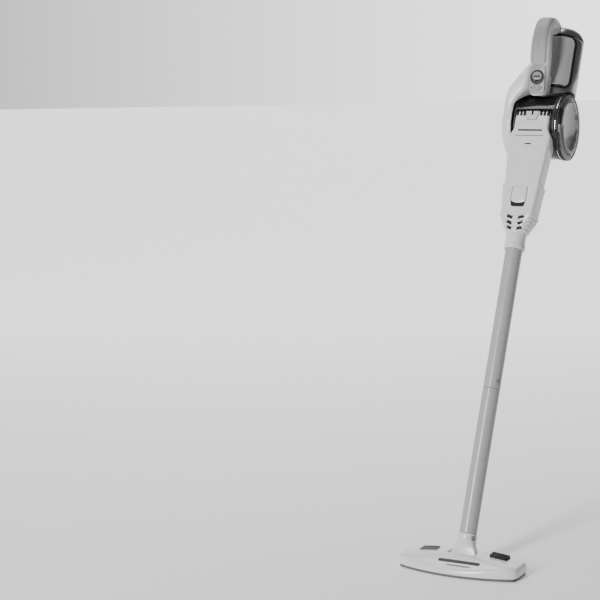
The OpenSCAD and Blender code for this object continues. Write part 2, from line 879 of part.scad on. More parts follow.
module fan_impeller() color("white") at_housing() translate([0, 0, fan_s]) difference() {
    union() {
        cylinder(h = 2, r = 32);
        cylinder(h = 12, r = 6);
        for (i = [0:8]) {
            rotate([0, 0, i * 40]) box([5, 31], [-0.8, 0.8], [1, 11.5]);
        }
    }
    translate([0, 0, -1]) cylinder(h = 20, r = 2.5);
}

module motor_shaft() color("silver") at_housing()
    translate([0, 0, fan_s]) cylinder(h = motor_s - fan_s + 40, r = 2.49);

cell_r = 7.2;
cell_len = 46;
cells_s = motor_s + 50;

module battery_cells() color("steelblue") at_housing() {
    for (i = [-2:2]) {
        translate([i * 16, -10, cells_s]) cylinder(h = cell_len, r = cell_r);
    }
    for (i = [-1.5:1:1.5]) {
        translate([i * 16, 10, cells_s]) cylinder(h = cell_len, r = cell_r);
    }
}

module battery_tray() color("black") at_housing() difference() {
    translate([0, 0, cells_s - 3]) linear_extrude(6) body2d(housing_wall + 0.3);
    translate([0, 0, cells_s]) linear_extrude(10) body2d(housing_wall + 4);
    for (side = [-1, 1]) {
        translate([0, side * 28, cells_s - 10]) cylinder(h = 20, r = 8);
    }
}

// Charging socket on the back of the housing
socket_body_r = 5;

module at_socket() {
    at_housing() translate([0, housing_r, housing_s + 98]) rotate([90, 0, 0]) children();
}

module charge_socket() color("black") at_socket() difference() {
    translate([0, 0, -0.8]) cylinder(h = 10, r = socket_body_r);
    translate([0, 0, -1]) cylinder(h = 8.5, r = socket_r);
}

head_shell();
head_sole();
head_bumper();
head_bristles();
head_duct();
head_grilles();
sole_screws();
wheel_left();
wheel_right();
wheel_axles();
neck();
neck_pins();
neck_button();
lower_tube();
upper_tube();
tube_button();
adapter();
adapter_latch();
nozzle_cover();
nozzle_base();
nozzle_clip();
tip_window();
crevice_tool();
crevice_button();
bowl_shell();
bowl_ring();
bowl_gasket();
bowl_door();
door_hinge();
door_button();
inlet_flap();
filter_cup();
filter_pleats();
filter_screen();
side_arm();
pivot_hub();
housing_collar();
motor_housing();
rear_cap();
trim_strips();
top_shell();
handle_left();
handle_right();
grip_inlay();
control_panel();
power_slider();
pivot_button();
switch_block();
circuit_board();
motor_can();
motor_mount();
fan_impeller();
motor_shaft();
battery_cells();
battery_tray();
charge_socket();
cap_screws();
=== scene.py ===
import json
import math

import bmesh
import bpy
from mathutils import Matrix, Vector, noise


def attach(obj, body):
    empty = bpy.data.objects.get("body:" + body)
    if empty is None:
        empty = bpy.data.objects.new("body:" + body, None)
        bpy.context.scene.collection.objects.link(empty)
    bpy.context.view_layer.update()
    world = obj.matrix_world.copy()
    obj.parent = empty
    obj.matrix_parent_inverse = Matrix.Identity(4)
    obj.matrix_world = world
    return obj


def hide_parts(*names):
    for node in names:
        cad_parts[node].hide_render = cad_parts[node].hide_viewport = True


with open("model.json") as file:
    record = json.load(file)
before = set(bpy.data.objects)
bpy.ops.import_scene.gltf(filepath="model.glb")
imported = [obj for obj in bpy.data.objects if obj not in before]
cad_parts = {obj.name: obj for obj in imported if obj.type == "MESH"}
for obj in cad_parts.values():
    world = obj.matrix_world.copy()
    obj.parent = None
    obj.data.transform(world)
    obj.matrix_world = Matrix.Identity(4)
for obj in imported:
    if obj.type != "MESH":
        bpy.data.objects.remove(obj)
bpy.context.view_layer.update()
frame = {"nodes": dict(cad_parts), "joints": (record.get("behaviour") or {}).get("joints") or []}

# Shapes are drawn in millimetres in the part's own frames, and these place them
MM = 0.001
JOINTS = {joint["name"]: joint for joint in frame["joints"]}


def frame_at(origin, up):
    """A frame in millimetres with its z along up and its x along the floor head."""
    z = Vector(up).normalized()
    x = Vector((1, 0, 0))
    matrix = Matrix((x, z.cross(x), z)).transposed().to_4x4()
    matrix.translation = Vector(origin)
    return matrix @ Matrix.Scale(MM, 4)


WORLD = Matrix.Scale(MM, 4)
STICK_UP = -Vector(JOINTS["adapter_slide"]["axis"])
STICK = frame_at(JOINTS["neck_tilt"]["pos_m"], STICK_UP)
BOWL = frame_at(JOINTS["nozzle_pivot"]["pos_m"], STICK_UP)

# Heights along the stick
NECK_TOP = 49
TUBE_JOINT = 345
COLLAR = 641
CONE = 672
SLEEVE = 712
SLEEVE_TOP = 779
TIP = 736
SHOULDER = 886
NARROW = 903
BOWL_S = 936
NOZZLE_TOP = 941
HOUSING = 1010
HOUSING_END = 1128
CAP_END = 1154

TUBE_R = 17.5
BOWL_R = 70
SHELL_R = 68
HOUSING_X = 4
HOUSING_Y = 54
HOUSING_R = 45
HOUSING_HALF = 9
GRIP_HALF = 19
GRIP_THICK = 15
GRIP_R = 11
ARM_LEFT = -70
ARM_RIGHT = -49


# ---------------------------------------------------------------- camera

CAMERA_AT = (1.23625, -2.96069, 1.02282)
CAMERA_AIM = (-0.46609, 0.87219, -0.14847)
CAMERA_ROLL = 0.0159
CAMERA_LENS = 101.28


def make_camera():
    data = bpy.data.cameras.new("camera")
    data.lens = CAMERA_LENS
    data.clip_start = 0.1
    data.clip_end = 30
    camera = bpy.data.objects.new("camera", data)
    bpy.context.scene.collection.objects.link(camera)
    camera.location = CAMERA_AT
    camera.rotation_mode = "QUATERNION"
    look = Vector(CAMERA_AIM).to_track_quat("-Z", "Y")
    camera.rotation_quaternion = look @ Matrix.Rotation(-CAMERA_ROLL, 3, "Z").to_quaternion()
    bpy.context.scene.camera = camera


make_camera()


# ---------------------------------------------------------------- materials

class Nodes:
    """A short way to write a material's nodes."""

    def __init__(self, name):
        self.material = bpy.data.materials.new(name)
        self.material.use_nodes = True
        self.tree = self.material.node_tree
        self.shader = self.tree.nodes["Principled BSDF"]
        self.position = self.add("ShaderNodeTexCoord").outputs["Object"]

    def add(self, kind, inputs=None, **settings):
        node = self.tree.nodes.new(kind)
        for key, value in settings.items():
            setattr(node, key, value)
        for key, value in (inputs or {}).items():
            socket = node.inputs[key]
            if isinstance(value, bpy.types.NodeSocket):
                self.tree.links.new(value, socket)
            else:
                socket.default_value = value
        return node

    def noise(self, scale, detail=2.0, vector=None, roughness=0.5):
        return self.add(
            "ShaderNodeTexNoise",
            {"Vector": vector or self.position, "Scale": scale, "Detail": detail, "Roughness": roughness},
        ).outputs["Fac"]

    def stretched(self, scale):
        return self.add("ShaderNodeMapping", {"Vector": self.position, "Scale": scale}).outputs["Vector"]

    def remap(self, value, low, high, to_low, to_high):
        return self.add(
            "ShaderNodeMapRange",
            {"Value": value, "From Min": low, "From Max": high, "To Min": to_low, "To Max": to_high},
        ).outputs["Result"]

    def mix(self, factor, first, second):
        node = self.add("ShaderNodeMix", data_type="RGBA")
        for socket, value in ((node.inputs[0], factor), (node.inputs[6], first), (node.inputs[7], second)):
            if isinstance(value, bpy.types.NodeSocket):
                self.tree.links.new(value, socket)
            elif isinstance(value, (tuple, list)):
                socket.default_value = (*value[:3], 1)
            else:
                socket.default_value = value
        return node.outputs[2]

    def link(self, output, name):
        self.tree.links.new(output, self.shader.inputs[name])

    def set(self, **values):
        for key, value in values.items():
            self.shader.inputs[key.replace("_", " ")].default_value = value

    def bump(self, height, strength, distance, below=None):
        inputs = {"Height": height, "Strength": strength, "Distance": distance}
        if below is not None:
            inputs["Normal"] = below
        return self.add("ShaderNodeBump", inputs).outputs["Normal"]


def shade(colour, factor):
    return tuple(min(1.0, channel * factor) for channel in colour)


def grey(level):
    return (level, level, level)


def plastic(name, colour, roughness, grain=0.02, grain_size=0.0006, coat=0.0, wear=1.12, specular=0.5):
    """Moulded plastic: slow colour drift, fine moulded grain, rubbed edges."""
    n = Nodes(name)
    drift = n.remap(n.noise(9.0, 3.0), 0.3, 0.7, 0, 1)
    base = n.mix(drift, shade(colour, 0.96), shade(colour, 1.02))
    edge = n.remap(n.add("ShaderNodeNewGeometry").outputs["Pointiness"], 0.52, 0.6, 0, 0.5)
    n.link(n.mix(edge, base, shade(colour, wear)), "Base Color")
    smear = n.noise(45.0, 4.0)
    n.link(n.remap(smear, 0.3, 0.75, roughness * 0.85, roughness * 1.25), "Roughness")
    ripple = n.bump(n.noise(28.0, 1.0), 0.05, 0.0006)
    fine = n.noise(1 / grain_size, 2.0)
    n.link(n.bump(fine, grain, 0.0002, ripple), "Normal")
    n.set(Coat_Weight=coat, Coat_Roughness=0.06, Specular_IOR_Level=specular)
    return n.material


def clear_plastic(name, colour, alpha, coat=0.5):
    """See-through moulded plastic with faint haze and scuffs."""
    n = Nodes(name)
    haze = n.noise(14.0, 3.0)
    n.link(n.mix(haze, shade(colour, 0.9), shade(colour, 1.1)), "Base Color")
    scuff = n.noise(160.0, 5.0, roughness=0.7)
    n.link(n.remap(scuff, 0.5, 0.8, 0.06, 0.18), "Roughness")
    n.link(n.bump(n.noise(22.0, 1.0), 0.06, 0.001), "Normal")
    n.set(Alpha=alpha, Coat_Weight=coat, Coat_Roughness=0.03)
    return n.material


def brushed_metal(name, colour, roughness, stretch, depth=0.12):
    """Metal brushed along one direction of the object."""
    n = Nodes(name)
    lines = n.noise(1.0, 4.0, n.stretched(stretch), 0.65)
    n.link(n.mix(lines, shade(colour, 0.88), shade(colour, 1.08)), "Base Color")
    n.link(n.remap(n.noise(30.0, 3.0), 0.3, 0.7, roughness * 0.85, roughness * 1.2), "Roughness")
    n.link(n.bump(lines, depth, 0.0002), "Normal")
    n.set(Metallic=1.0)
    return n.material


def turned_metal(name, colour, roughness, centre):
    """Metal turned or spun round the bowl's axis, with fine rings."""
    n = Nodes(name)
    away = n.add("ShaderNodeVectorMath", {0: n.position, 1: centre}, operation="SUBTRACT").outputs["Vector"]
    flat = n.add("ShaderNodeVectorMath", {0: away, 1: (0, 1, 1)}, operation="MULTIPLY").outputs["Vector"]
    radius = n.add("ShaderNodeVectorMath", {0: flat}, operation="LENGTH").outputs["Value"]
    spread = {"W": radius, "Scale": 2600.0, "Detail": 4.0}
    rings = n.add("ShaderNodeTexNoise", spread, noise_dimensions="1D").outputs["Fac"]
    n.link(n.mix(rings, shade(colour, 0.84), shade(colour, 1.1)), "Base Color")
    n.link(n.remap(rings, 0.3, 0.7, roughness * 0.8, roughness * 1.25), "Roughness")
    n.link(n.bump(rings, 0.15, 0.0002), "Normal")
    n.set(Metallic=1.0, Anisotropic=0.4)
    return n.material


def fibre(name, colour, size=0.0008):
    """Nylon tufts, filter cloth and other fine fibres."""
    n = Nodes(name)
    strands = n.noise(1.0, 3.0, n.stretched((1 / size, 1 / size, 0.15 / size)), 0.7)
    n.link(n.mix(strands, shade(colour, 0.7), shade(colour, 1.15)), "Base Color")
    n.link(n.bump(strands, 0.6, 0.0005), "Normal")
    n.link(n.remap(strands, 0, 1, 0.75, 0.95), "Roughness")
    n.set(Sheen_Weight=0.2)
    return n.material


def board(name):
    """A circuit board's green lacquer over tracks."""
    n = Nodes(name)
    tracks = n.add("ShaderNodeTexBrick", {"Vector": n.position, "Scale": 220.0}).outputs["Fac"]
    n.link(n.mix(tracks, (0.03, 0.22, 0.09), (0.10, 0.38, 0.18)), "Base Color")
    n.link(n.remap(tracks, 0, 1, 0.3, 0.45), "Roughness")
    n.link(n.bump(tracks, 0.3, 0.0002), "Normal")
    return n.material


# Each material is named after the record's slot that its pieces take, where it has one
WHITE = plastic("white_gloss", grey(0.70), 0.24, coat=0.25)
WHITE_SATIN = plastic("white_satin", grey(0.54), 0.4, grain=0.06, coat=0.05)
TUBE_GREY = plastic("tube_grey", grey(0.38), 0.28, coat=0.15)
# The top panel is white plastic; its grey colour is painted shade cast by the handle above it.
PANEL_SHADED = plastic("panel_white_shaded", grey(0.34), 0.18, coat=0.4)
SATIN_GREY = plastic("satin_grey", (0.20, 0.20, 0.203), 0.42, grain=0.12)
BAND_GREY = plastic("band_grey", grey(0.25), 0.45, grain=0.14)
COLLAR_GREY = plastic("collar_grey", (0.10, 0.10, 0.102), 0.4, grain=0.1)
DARK_GREY = plastic("dark_grey", (0.026, 0.026, 0.027), 0.4, grain=0.15, wear=1.5, specular=0.3)
BLACK = plastic("black_plastic", (0.008, 0.008, 0.0085), 0.45, grain=0.12, wear=2.0, specular=0.2)
RUBBER = plastic("black_rubber", (0.02, 0.02, 0.021), 0.7, grain=0.3, grain_size=0.0009, wear=1.8)
SMOKE = clear_plastic("smoky_clear", (0.006, 0.006, 0.0063), 0.84, coat=0.15)
CLEAR = clear_plastic("clear", (0.20, 0.203, 0.206), 0.28)
SILVER = brushed_metal("silver_metal", (0.36, 0.36, 0.362), 0.26, (900, 60, 900), 0.05)
CONE_METAL = turned_metal("cone_metal", (0.22, 0.22, 0.222), 0.24, tuple(BOWL.translation))
CHROME = brushed_metal("trim_chrome", (0.80, 0.79, 0.75), 0.1, (300, 60, 300), 0.02)
STEEL = brushed_metal("steel", (0.55, 0.55, 0.56), 0.3, (1500, 1500, 200))
BRISTLE = fibre("bristle", (0.16, 0.16, 0.165))
PAPER = fibre("filter_paper", (0.75, 0.75, 0.70), 0.0005)
BOARD = board("board_green")
CELL = plastic("cell_wrap", (0.06, 0.17, 0.33), 0.3)


# ---------------------------------------------------------------- shapes

# Edges sharper than this, in degrees, are rounded and shaded as edges
EDGE_ANGLE = 38
KEPT_ANGLE = 35


def arc(start, end, steps):
    """Angles in degrees from start to end, in radians."""
    return [math.radians(start + (end - start) * i / steps) for i in range(steps + 1)]


def mixed(a, b, t):
    return a + (b - a) * t


def smooth(t):
    return t * t * (3 - 2 * t)


def held(value, low, high):
    return max(low, min(high, value))


def shift(x, y, z):
    return Matrix.Translation((x, y, z))


def spin(degrees, axis):
    return Matrix.Rotation(math.radians(degrees), 4, axis)


def dense(points, step):
    """An outline with its long sides cut into parts of about a step."""
    fine = []
    for i, a in enumerate(points):
        b = points[(i + 1) % len(points)]
        parts = max(1, int(math.dist(a, b) / step))
        fine += [(mixed(a[0], b[0], k / parts), mixed(a[1], b[1], k / parts)) for k in range(parts)]
    return fine


def at_height(outline, s):
    """An outline as one level ring."""
    return [(u, v, s) for u, v in outline]


def rounded(half_w, half_d, r, x=0.0, y=0.0, per=8):
    """A rounded rectangle as points; with r the half sizes, a circle."""
    r = max(0.01, min(r, half_w, half_d))
    points = []
    for k, (sx, sy) in enumerate(((1, 1), (-1, 1), (-1, -1), (1, -1))):
        cx, cy = x + sx * (half_w - r), y + sy * (half_d - r)
        points += [(cx + r * math.cos(a), cy + r * math.sin(a)) for a in arc(90 * k, 90 * k + 90, per)]
    return points


def filleted(corners, r, steps=5):
    """A polygon with each corner rounded to r."""
    points = []
    count = len(corners)
    for i, corner in enumerate(corners):
        p = Vector(corner)
        a = (Vector(corners[i - 1]) - p).normalized()
        b = (Vector(corners[(i + 1) % count]) - p).normalized()
        half = math.acos(max(-1, min(1, a.dot(b)))) / 2
        reach = r / math.tan(half) if half > 0.01 else 0
        centre = p + (a + b).normalized() * (r / math.sin(half))
        start = p + a * reach - centre
        end = p + b * reach - centre
        sweep = math.pi - 2 * half
        turn = 1 if start.x * end.y - start.y * end.x > 0 else -1
        for k in range(steps + 1):
            t = turn * sweep * k / steps
            c, s = math.cos(t), math.sin(t)
            points.append((centre.x + start.x * c - start.y * s, centre.y + start.x * s + start.y * c))
    return points


def inset(points, d):
    """An outline moved inward by d along its own normals."""
    if not d:
        return list(points)
    area = sum(a[0] * b[1] - b[0] * a[1] for a, b in zip(points, points[1:] + points[:1]))
    side = 1 if area > 0 else -1
    moved = []
    count = len(points)
    for i, p in enumerate(points):
        before = Vector(points[i - 1])
        after = Vector(points[(i + 1) % count])
        here = Vector(p)
        e1 = (here - before).normalized()
        e2 = (after - here).normalized()
        n1, n2 = Vector((-e1.y, e1.x)), Vector((-e2.y, e2.x))
        n = n1 + n2
        n = n.normalized() if n.length > 1e-6 else n1
        scale = 1 / max(0.5, n.dot(n1))
        moved.append(tuple(here + n * (side * d * scale)))
    return moved


def rounding(low, high, edge, steps=4):
    """Pairs of height and inset that round both ends of a prism."""
    start = [(low + edge * (1 - math.sin(a)), edge * (1 - math.cos(a))) for a in arc(90, 0, steps)]
    end = [(high - edge * (1 - math.sin(a)), edge * (1 - math.cos(a))) for a in arc(0, 90, steps)]
    return start + end


def loft(rings, around=False):
    """Quads between rings of the same count, closed at the ends or round into a ring."""
    count = len(rings[0])
    verts = [tuple(p) for ring in rings for p in ring]
    faces = []
    spans = len(rings) if around else len(rings) - 1
    for i in range(spans):
        base, above = i * count, ((i + 1) % len(rings)) * count
        for j in range(count):
            k = (j + 1) % count
            faces.append((base + j, base + k, above + k, above + j))
    if not around:
        faces.append(tuple(reversed(range(count))))
        faces.append(tuple(range(len(verts) - count, len(verts))))
    return verts, faces


def prism(outline, low, high, edge=1.0, place=None, steps=3):
    """A prism with rounded ends. place turns (u, v, height) into x, y, z."""
    place = place or (lambda u, v, h: (u, v, h))
    rings = []
    for h, d in rounding(low, high, edge, steps):
        rings.append([place(u, v, h) for u, v in inset(outline, d)])
    return loft(rings)


def thin_plate(outline, low, high, edge=0.05):
    """A flat plate or cutting tool that faces the front."""
    return prism(outline, low, high, edge, across_y, 1)


def across_y(u, v, h):
    return (u, h, v)


def across_x(u, v, h):
    return (h, u, v)


def revolve(profile, steps=96, axis="x", start=0, end=360):
    """A closed profile of (along, radius) turned about x or z, and closed where it meets the axis."""
    whole = end - start >= 360
    profile = [(u, r if r > 0.01 else 0.0) for u, r in profile]
    rings = []
    count = steps if whole else steps + 1
    for i in range(count):
        a = math.radians(start + (end - start) * i / steps)
        c, s = math.cos(a), math.sin(a)
        if axis == "x":
            rings.append([(u, r * c, r * s) for u, r in profile])
        else:
            rings.append([(r * c, r * s, u) for u, r in profile])
    return loft(rings, around=whole)


def rod(r, low, high, steps, axis="z"):
    return revolve([(low, 0), (low, r), (high, r), (high, 0)], steps, axis)


def x_cylinder(r, x0, x1, steps=128):
    return rod(r, x0, x1, steps, "x")


def ring_of(outer, inner, x0, x1, soft=0.5, steps=128, axis="x"):
    """A ring with rounded edges about an axis."""
    return revolve(filleted([(x0, inner), (x0, outer), (x1, outer), (x1, inner)], soft, 3), steps, axis)


def moved(shape, x=0, y=0, z=0):
    verts, faces = shape
    return [(a + x, b + y, c + z) for a, b, c in verts], faces


def turned(shape, matrix):
    verts, faces = shape
    return [tuple(matrix @ Vector(v)) for v in verts], faces


def mirrored(shape):
    verts, faces = shape
    return [(-a, b, c) for a, b, c in verts], [tuple(reversed(face)) for face in faces]


def joined(*shapes):
    verts, faces = [], []
    for v, f in shapes:
        base = len(verts)
        verts += list(v)
        faces += [tuple(i + base for i in face) for face in f]
    return verts, faces


def block(x, y, z, edge=0.6, r=1.5):
    """A rounded block between pairs of limits."""
    cx, cy = (x[0] + x[1]) / 2, (y[0] + y[1]) / 2
    outline = rounded((x[1] - x[0]) / 2, (y[1] - y[0]) / 2, r, cx, cy, 4)
    return prism(outline, z[0], z[1], edge)


def box_shape(x, y, z):
    """A sharp box between pairs of limits."""
    corners = [(x[0], y[0]), (x[1], y[0]), (x[1], y[1]), (x[0], y[1])]
    return loft([at_height(corners, h) for h in z])


def to_mesh(name, shape, space):
    verts, faces = shape
    mesh = bpy.data.meshes.new(name)
    mesh.from_pydata([tuple(v) for v in verts], [], faces)
    mesh.transform(space)
    bm = bmesh.new()
    bm.from_mesh(mesh)
    bmesh.ops.remove_doubles(bm, verts=bm.verts, dist=1e-7)
    bmesh.ops.dissolve_degenerate(bm, dist=1e-8, edges=bm.edges)
    bmesh.ops.delete(bm, geom=[edge for edge in bm.edges if not edge.link_faces], context="EDGES")
    bmesh.ops.recalc_face_normals(bm, faces=bm.faces)
    bm.to_mesh(mesh)
    bm.free()
    return mesh


def add_object(name, mesh):
    thing = bpy.data.objects.new(name, mesh)
    bpy.context.scene.collection.objects.link(thing)
    return thing


def combine(thing, other, operation):
    """Applies one Boolean with a closed mesh and drops the tool."""
    modifier = thing.modifiers.new("cut", "BOOLEAN")
    modifier.operation = operation
    modifier.solver = "MANIFOLD"
    modifier.object = other
    graph = bpy.context.evaluated_depsgraph_get()
    made = bpy.data.meshes.new_from_object(thing.evaluated_get(graph))
    thing.modifiers.remove(modifier)
    if not len(made.polygons):
        raise RuntimeError(f"{thing.name}: a cut left nothing")
    old = thing.data
    thing.data = made
    made.name = thing.name
    bpy.data.meshes.remove(old)
    spent = other.data
    bpy.data.objects.remove(other)
    bpy.data.meshes.remove(spent)


def smooth_faces(mesh, angle):
    for polygon in mesh.polygons:
        polygon.use_smooth = True
    mesh.set_sharp_from_angle(angle=math.radians(angle))


def cut_all(thing, tools, operation="DIFFERENCE"):
    """Takes each (shape, space) from the piece, or joins it."""
    for shape, space in tools:
        combine(thing, add_object("tool", to_mesh("tool", shape, space)), operation)


def dress(thing, body, material, replaces=None):
    """Gives a piece its material and its body, and hides the node it stands for."""
    thing.data.materials.clear()
    thing.data.materials.append(material)
    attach(thing, body)
    if replaces:
        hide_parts(replaces)


def piece(name, shape, body, material, replaces=None, space=STICK, cuts=(), adds=(), bevel=0.0):
    """One visible piece: its mesh, cuts, edge rounding, material and body."""
    thing = add_object(name, to_mesh(name, shape, space))
    cut_all(thing, adds, "UNION")
    cut_all(thing, cuts)
    smooth_faces(thing.data, EDGE_ANGLE)
    if bevel:
        add_bevel(thing, bevel, EDGE_ANGLE)
    if cuts or adds:
        thing.modifiers.new("split_faces", "TRIANGULATE").min_vertices = 5
    dress(thing, body, material, replaces)


def add_bevel(thing, width, angle):
    modifier = thing.modifiers.new("edges", "BEVEL")
    modifier.width = width * MM
    modifier.segments = 2
    modifier.limit_method = "ANGLE"
    modifier.angle_limit = math.radians(angle)
    modifier.use_clamp_overlap = True
    modifier.harden_normals = False


def keep_node(node, material, bevel):
    """A CAD node that stays, with a material and lightly rounded edges."""
    thing = frame["nodes"][node]
    thing.modifiers.new("weld", "WELD").merge_threshold = 1e-6
    if bevel:
        add_bevel(thing, bevel, KEPT_ANGLE)
    thing.modifiers.new("shading", "EDGE_SPLIT").split_angle = math.radians(KEPT_ANGLE)
    for polygon in thing.data.polygons:
        polygon.use_smooth = True
    thing.data.materials.clear()
    thing.data.materials.append(material)


# ---------------------------------------------------------------- floor head

HEAD_HALF = 125
HEAD_DEPTH = 45
HEAD_TOP = 34
HEAD_CROWN = 11
HEAD_BULGE = 25
SHELL_LOW = 5.1
NOTCH_HALF = 30
WHEEL_X = 92
WHEEL_Y = 27
GRILLE_X = 74
GRILLE_Y = 25
SCREW_X = 112


def head_outline():
    """The head's plan: a bulging front, straight ends and back, rounded corners."""
    front_r = (HEAD_HALF ** 2 + HEAD_BULGE ** 2) / (2 * HEAD_BULGE)
    corners = []
    steps = 24
    for i in range(steps + 1):
        x = mixed(-HEAD_HALF, HEAD_HALF, i / steps)
        corners.append((x, -HEAD_DEPTH + front_r - math.sqrt(front_r ** 2 - x ** 2)))
    corners += [(HEAD_HALF, HEAD_DEPTH), (-HEAD_HALF, HEAD_DEPTH)]
    return round_corners(dense(corners, 5))


def round_corners(points, passes=7):
    """Smooths a dense outline, most where it turns most."""
    for _ in range(passes):
        fresh = []
        for i, p in enumerate(points):
            a, b = points[i - 1], points[(i + 1) % len(points)]
            fresh.append(((a[0] + 2 * p[0] + b[0]) / 4, (a[1] + 2 * p[1] + b[1]) / 4))
        points = fresh
    return points


def soft_min(values, width=2.5):
    """The least of some heights, with the corners between them rounded."""
    low = min(values)
    return low - width * math.log(sum(math.exp(-(v - low) / width) for v in values))


def head_top(x, y):
    """Height of the head's top surface."""
    crown = HEAD_TOP + 1.2 - HEAD_CROWN * (x / HEAD_HALF) ** 2
    front = mixed(15.5, HEAD_TOP + 2.5, (y + HEAD_DEPTH) / 37)
    back = mixed(HEAD_TOP + 8, 24.5, (y - 30) / 16) if y > 0 else 90
    return soft_min([crown, front, back])


def head_body():
    """The head's shell: a soft lower edge, a rounded shoulder and a top that closes towards the middle."""
    outline = head_outline()
    rings = []
    for rise, d in ((0, 1.6), (0.6, 0.7), (1.8, 0.1), (4, 0.0)):
        rings.append(at_height(inset(outline, d), SHELL_LOW + rise))
    edge = 6.5
    for a in arc(0, 90, 6):
        drop = edge * (1 - math.sin(a))
        ring = inset(outline, edge * (1 - math.cos(a)))
        rings.append([(x, y, max(SHELL_LOW + 4.2, head_top(x, y) - drop)) for x, y in ring])
    base = inset(outline, edge)
    for t in (0.12, 0.26, 0.42, 0.6, 0.78, 0.92, 0.985):
        ring = [(mixed(x, held(x, -95, 95), t), mixed(y, 2, t)) for x, y in base]
        rings.append([(x, y, head_top(x, y)) for x, y in ring])
    return loft(rings)


def duct_tool():
    """The room that the funnel takes inside the head."""
    wide, narrow = 81.3, 22.3
    right = [(wide, -32.3), (wide, -6.8), (narrow, -2.8), (narrow, 8)]
    left = [(-x, y) for x, y in reversed(right)]
    return loft([at_height(right + left, h) for h in (0, 19.3)])


def head_cuts():
    """Room for the neck, the funnel, the wheels, the inserts and the screws, and two short grooves."""
    notch = prism(rounded(NOTCH_HALF, 40, 5, 0, 43, 5), -5, 60, 0.2)
    tools = [notch, duct_tool()]
    for side in (-1, 1):
        wheel = side * WHEEL_X
        tools.append(box_shape((wheel - 10.5, wheel + 10.5), (14.5, 39.5), (0, 20)))
        tools.append(prism(rounded(18.4, 11.9, 3, side * GRILLE_X, GRILLE_Y, 5), 22, 60, 0.2))
        tools.append(prism(rounded(1.2, 5.5, 1.2, side * (NOTCH_HALF + 13), 33, 4), 31.2, 60, 0.2))
    screws = [(rod(2, 0, 13, 20), WORLD @ shift(x, -4, 0)) for x in (-SCREW_X, SCREW_X)]
    return [(tool, WORLD) for tool in tools] + screws


def make_head():
    piece("head_shell_skin", head_body(), "floor_head", WHITE, "head_shell", WORLD, head_cuts(), bevel=0.45)
    # The two grilles are the same insert: the left one is painted lighter (grey) and the right one darker
    # (black), as painted light and painted shade from light falling from the left.
    grille("left", -GRILLE_X, 2.6, COLLAR_GREY, "head_grilles")
    neck_cheek("left", -1)
    grille("right", GRILLE_X, 5.0, BLACK)
    neck_cheek("right", 1)
    head_bar("head_mark_bar", 8, -24.0, 44, 3.8, DARK_GREY)
    head_bar("head_mark_line", 10, -33.5, 25, 2.0, SATIN_GREY)
    head_strip()


def grille(name, x, proud, material, replaces=None):
    """Ribbed insert that stands proud on the back of the top."""
    def surface(u, v):
        return head_top(x + u, 0.8 * v + 21) + proud

    outline = rounded(17.9, 11.5, 2.6, 0, 0, 5)
    rings = []
    for d, drop in ((0, 5 + proud), (0, 0.5), (0.35, 0.25), (1.1, 0.25), (1.3, 2.2)):
        rings.append([(x + u, GRILLE_Y + v, surface(u, v) - drop) for u, v in inset(outline, d)])
    shapes = [loft(rings)]
    for i in range(-5, 6):
        middle = i * 2.9
        rib = []
        for width, drop in ((1, 2.6), (1, 0.75), (0.75, 0.5)):
            bar = rounded(0.62, 10.0, 0.5, 0, 0, 3)
            rib.append([(x + middle + width * u, GRILLE_Y + v, surface(middle, v) - drop) for u, v in bar])
        shapes.append(loft(rib))
    insert = joined(*shapes)
    piece(f"head_grille_{name}", insert, "floor_head", material, replaces, WORLD)


def neck_cheek(name, side):
    """Bearing cheek beside the neck, with the pin's cap."""
    cheek = prism(rounded(12.5, 12.5, 12.5, 20, 20, 10), 30.4, 34.6, 0.8, across_x)
    shape = cheek if side > 0 else mirrored(cheek)
    piece(f"neck_cheek_{name}", shape, "floor_head", WHITE, space=WORLD)


def head_bar(name, x, y, half_w, half_d, material):
    """Plain printed bar that lies on the head's top."""
    outline = dense(rounded(half_w, half_d, half_d, 0, 0, 6), 3)
    flat = half_w - half_d
    rings = []
    for height, t in ((-0.6, 0), (0.06, 0), (0.12, 0.06), (0.12, 0.3), (0.12, 0.6), (0.12, 0.95)):
        ring = []
        for u, v in outline:
            py = y + mixed(v, 0, t)
            ring.append((x + mixed(u, held(u, -flat, flat), t), py, head_top(x + u, py) + height))
        rings.append(ring)
    piece(name, loft(rings), "floor_head", material, space=WORLD)


def head_strip():
    """Soft strip under the front edge, round to both ends."""
    outline = head_outline()
    section_steps = ((1.0, 1.6), (1.2, 1.0), (4.4, 0.9), (4.9, 1.3), (4.9, 3.9), (1.0, 3.9))
    rings = [at_height(inset(outline, d), z) for z, d in section_steps]
    piece("head_soft_strip", loft(rings, around=True), "floor_head", COLLAR_GREY, "head_bumper", WORLD)


def tufts(y0, y1):
    """A strip of bristles cut into tufts, with a backing rail."""
    shapes = [block((-77.5, 77.5), (y0 + 0.2, y1 - 0.2), (3.6, 5.0), 0.2, 0.4)]
    middle = (y0 + y1) / 2
    count = 62
    for i in range(count):
        x = mixed(-76.5, 76.5, i / (count - 1))
        lean = 0.5 * noise.noise(Vector((i * 0.7, y0, 0)))
        root = rounded(0.8, 1.1, 0.8, x, middle, 2)
        tip = rounded(1.1, 1.35, 1.0, x + lean, middle + 0.3 * lean, 2)
        shapes.append(loft([at_height(tip, 0.25), at_height(root, 4.0)]))
    return joined(*shapes)


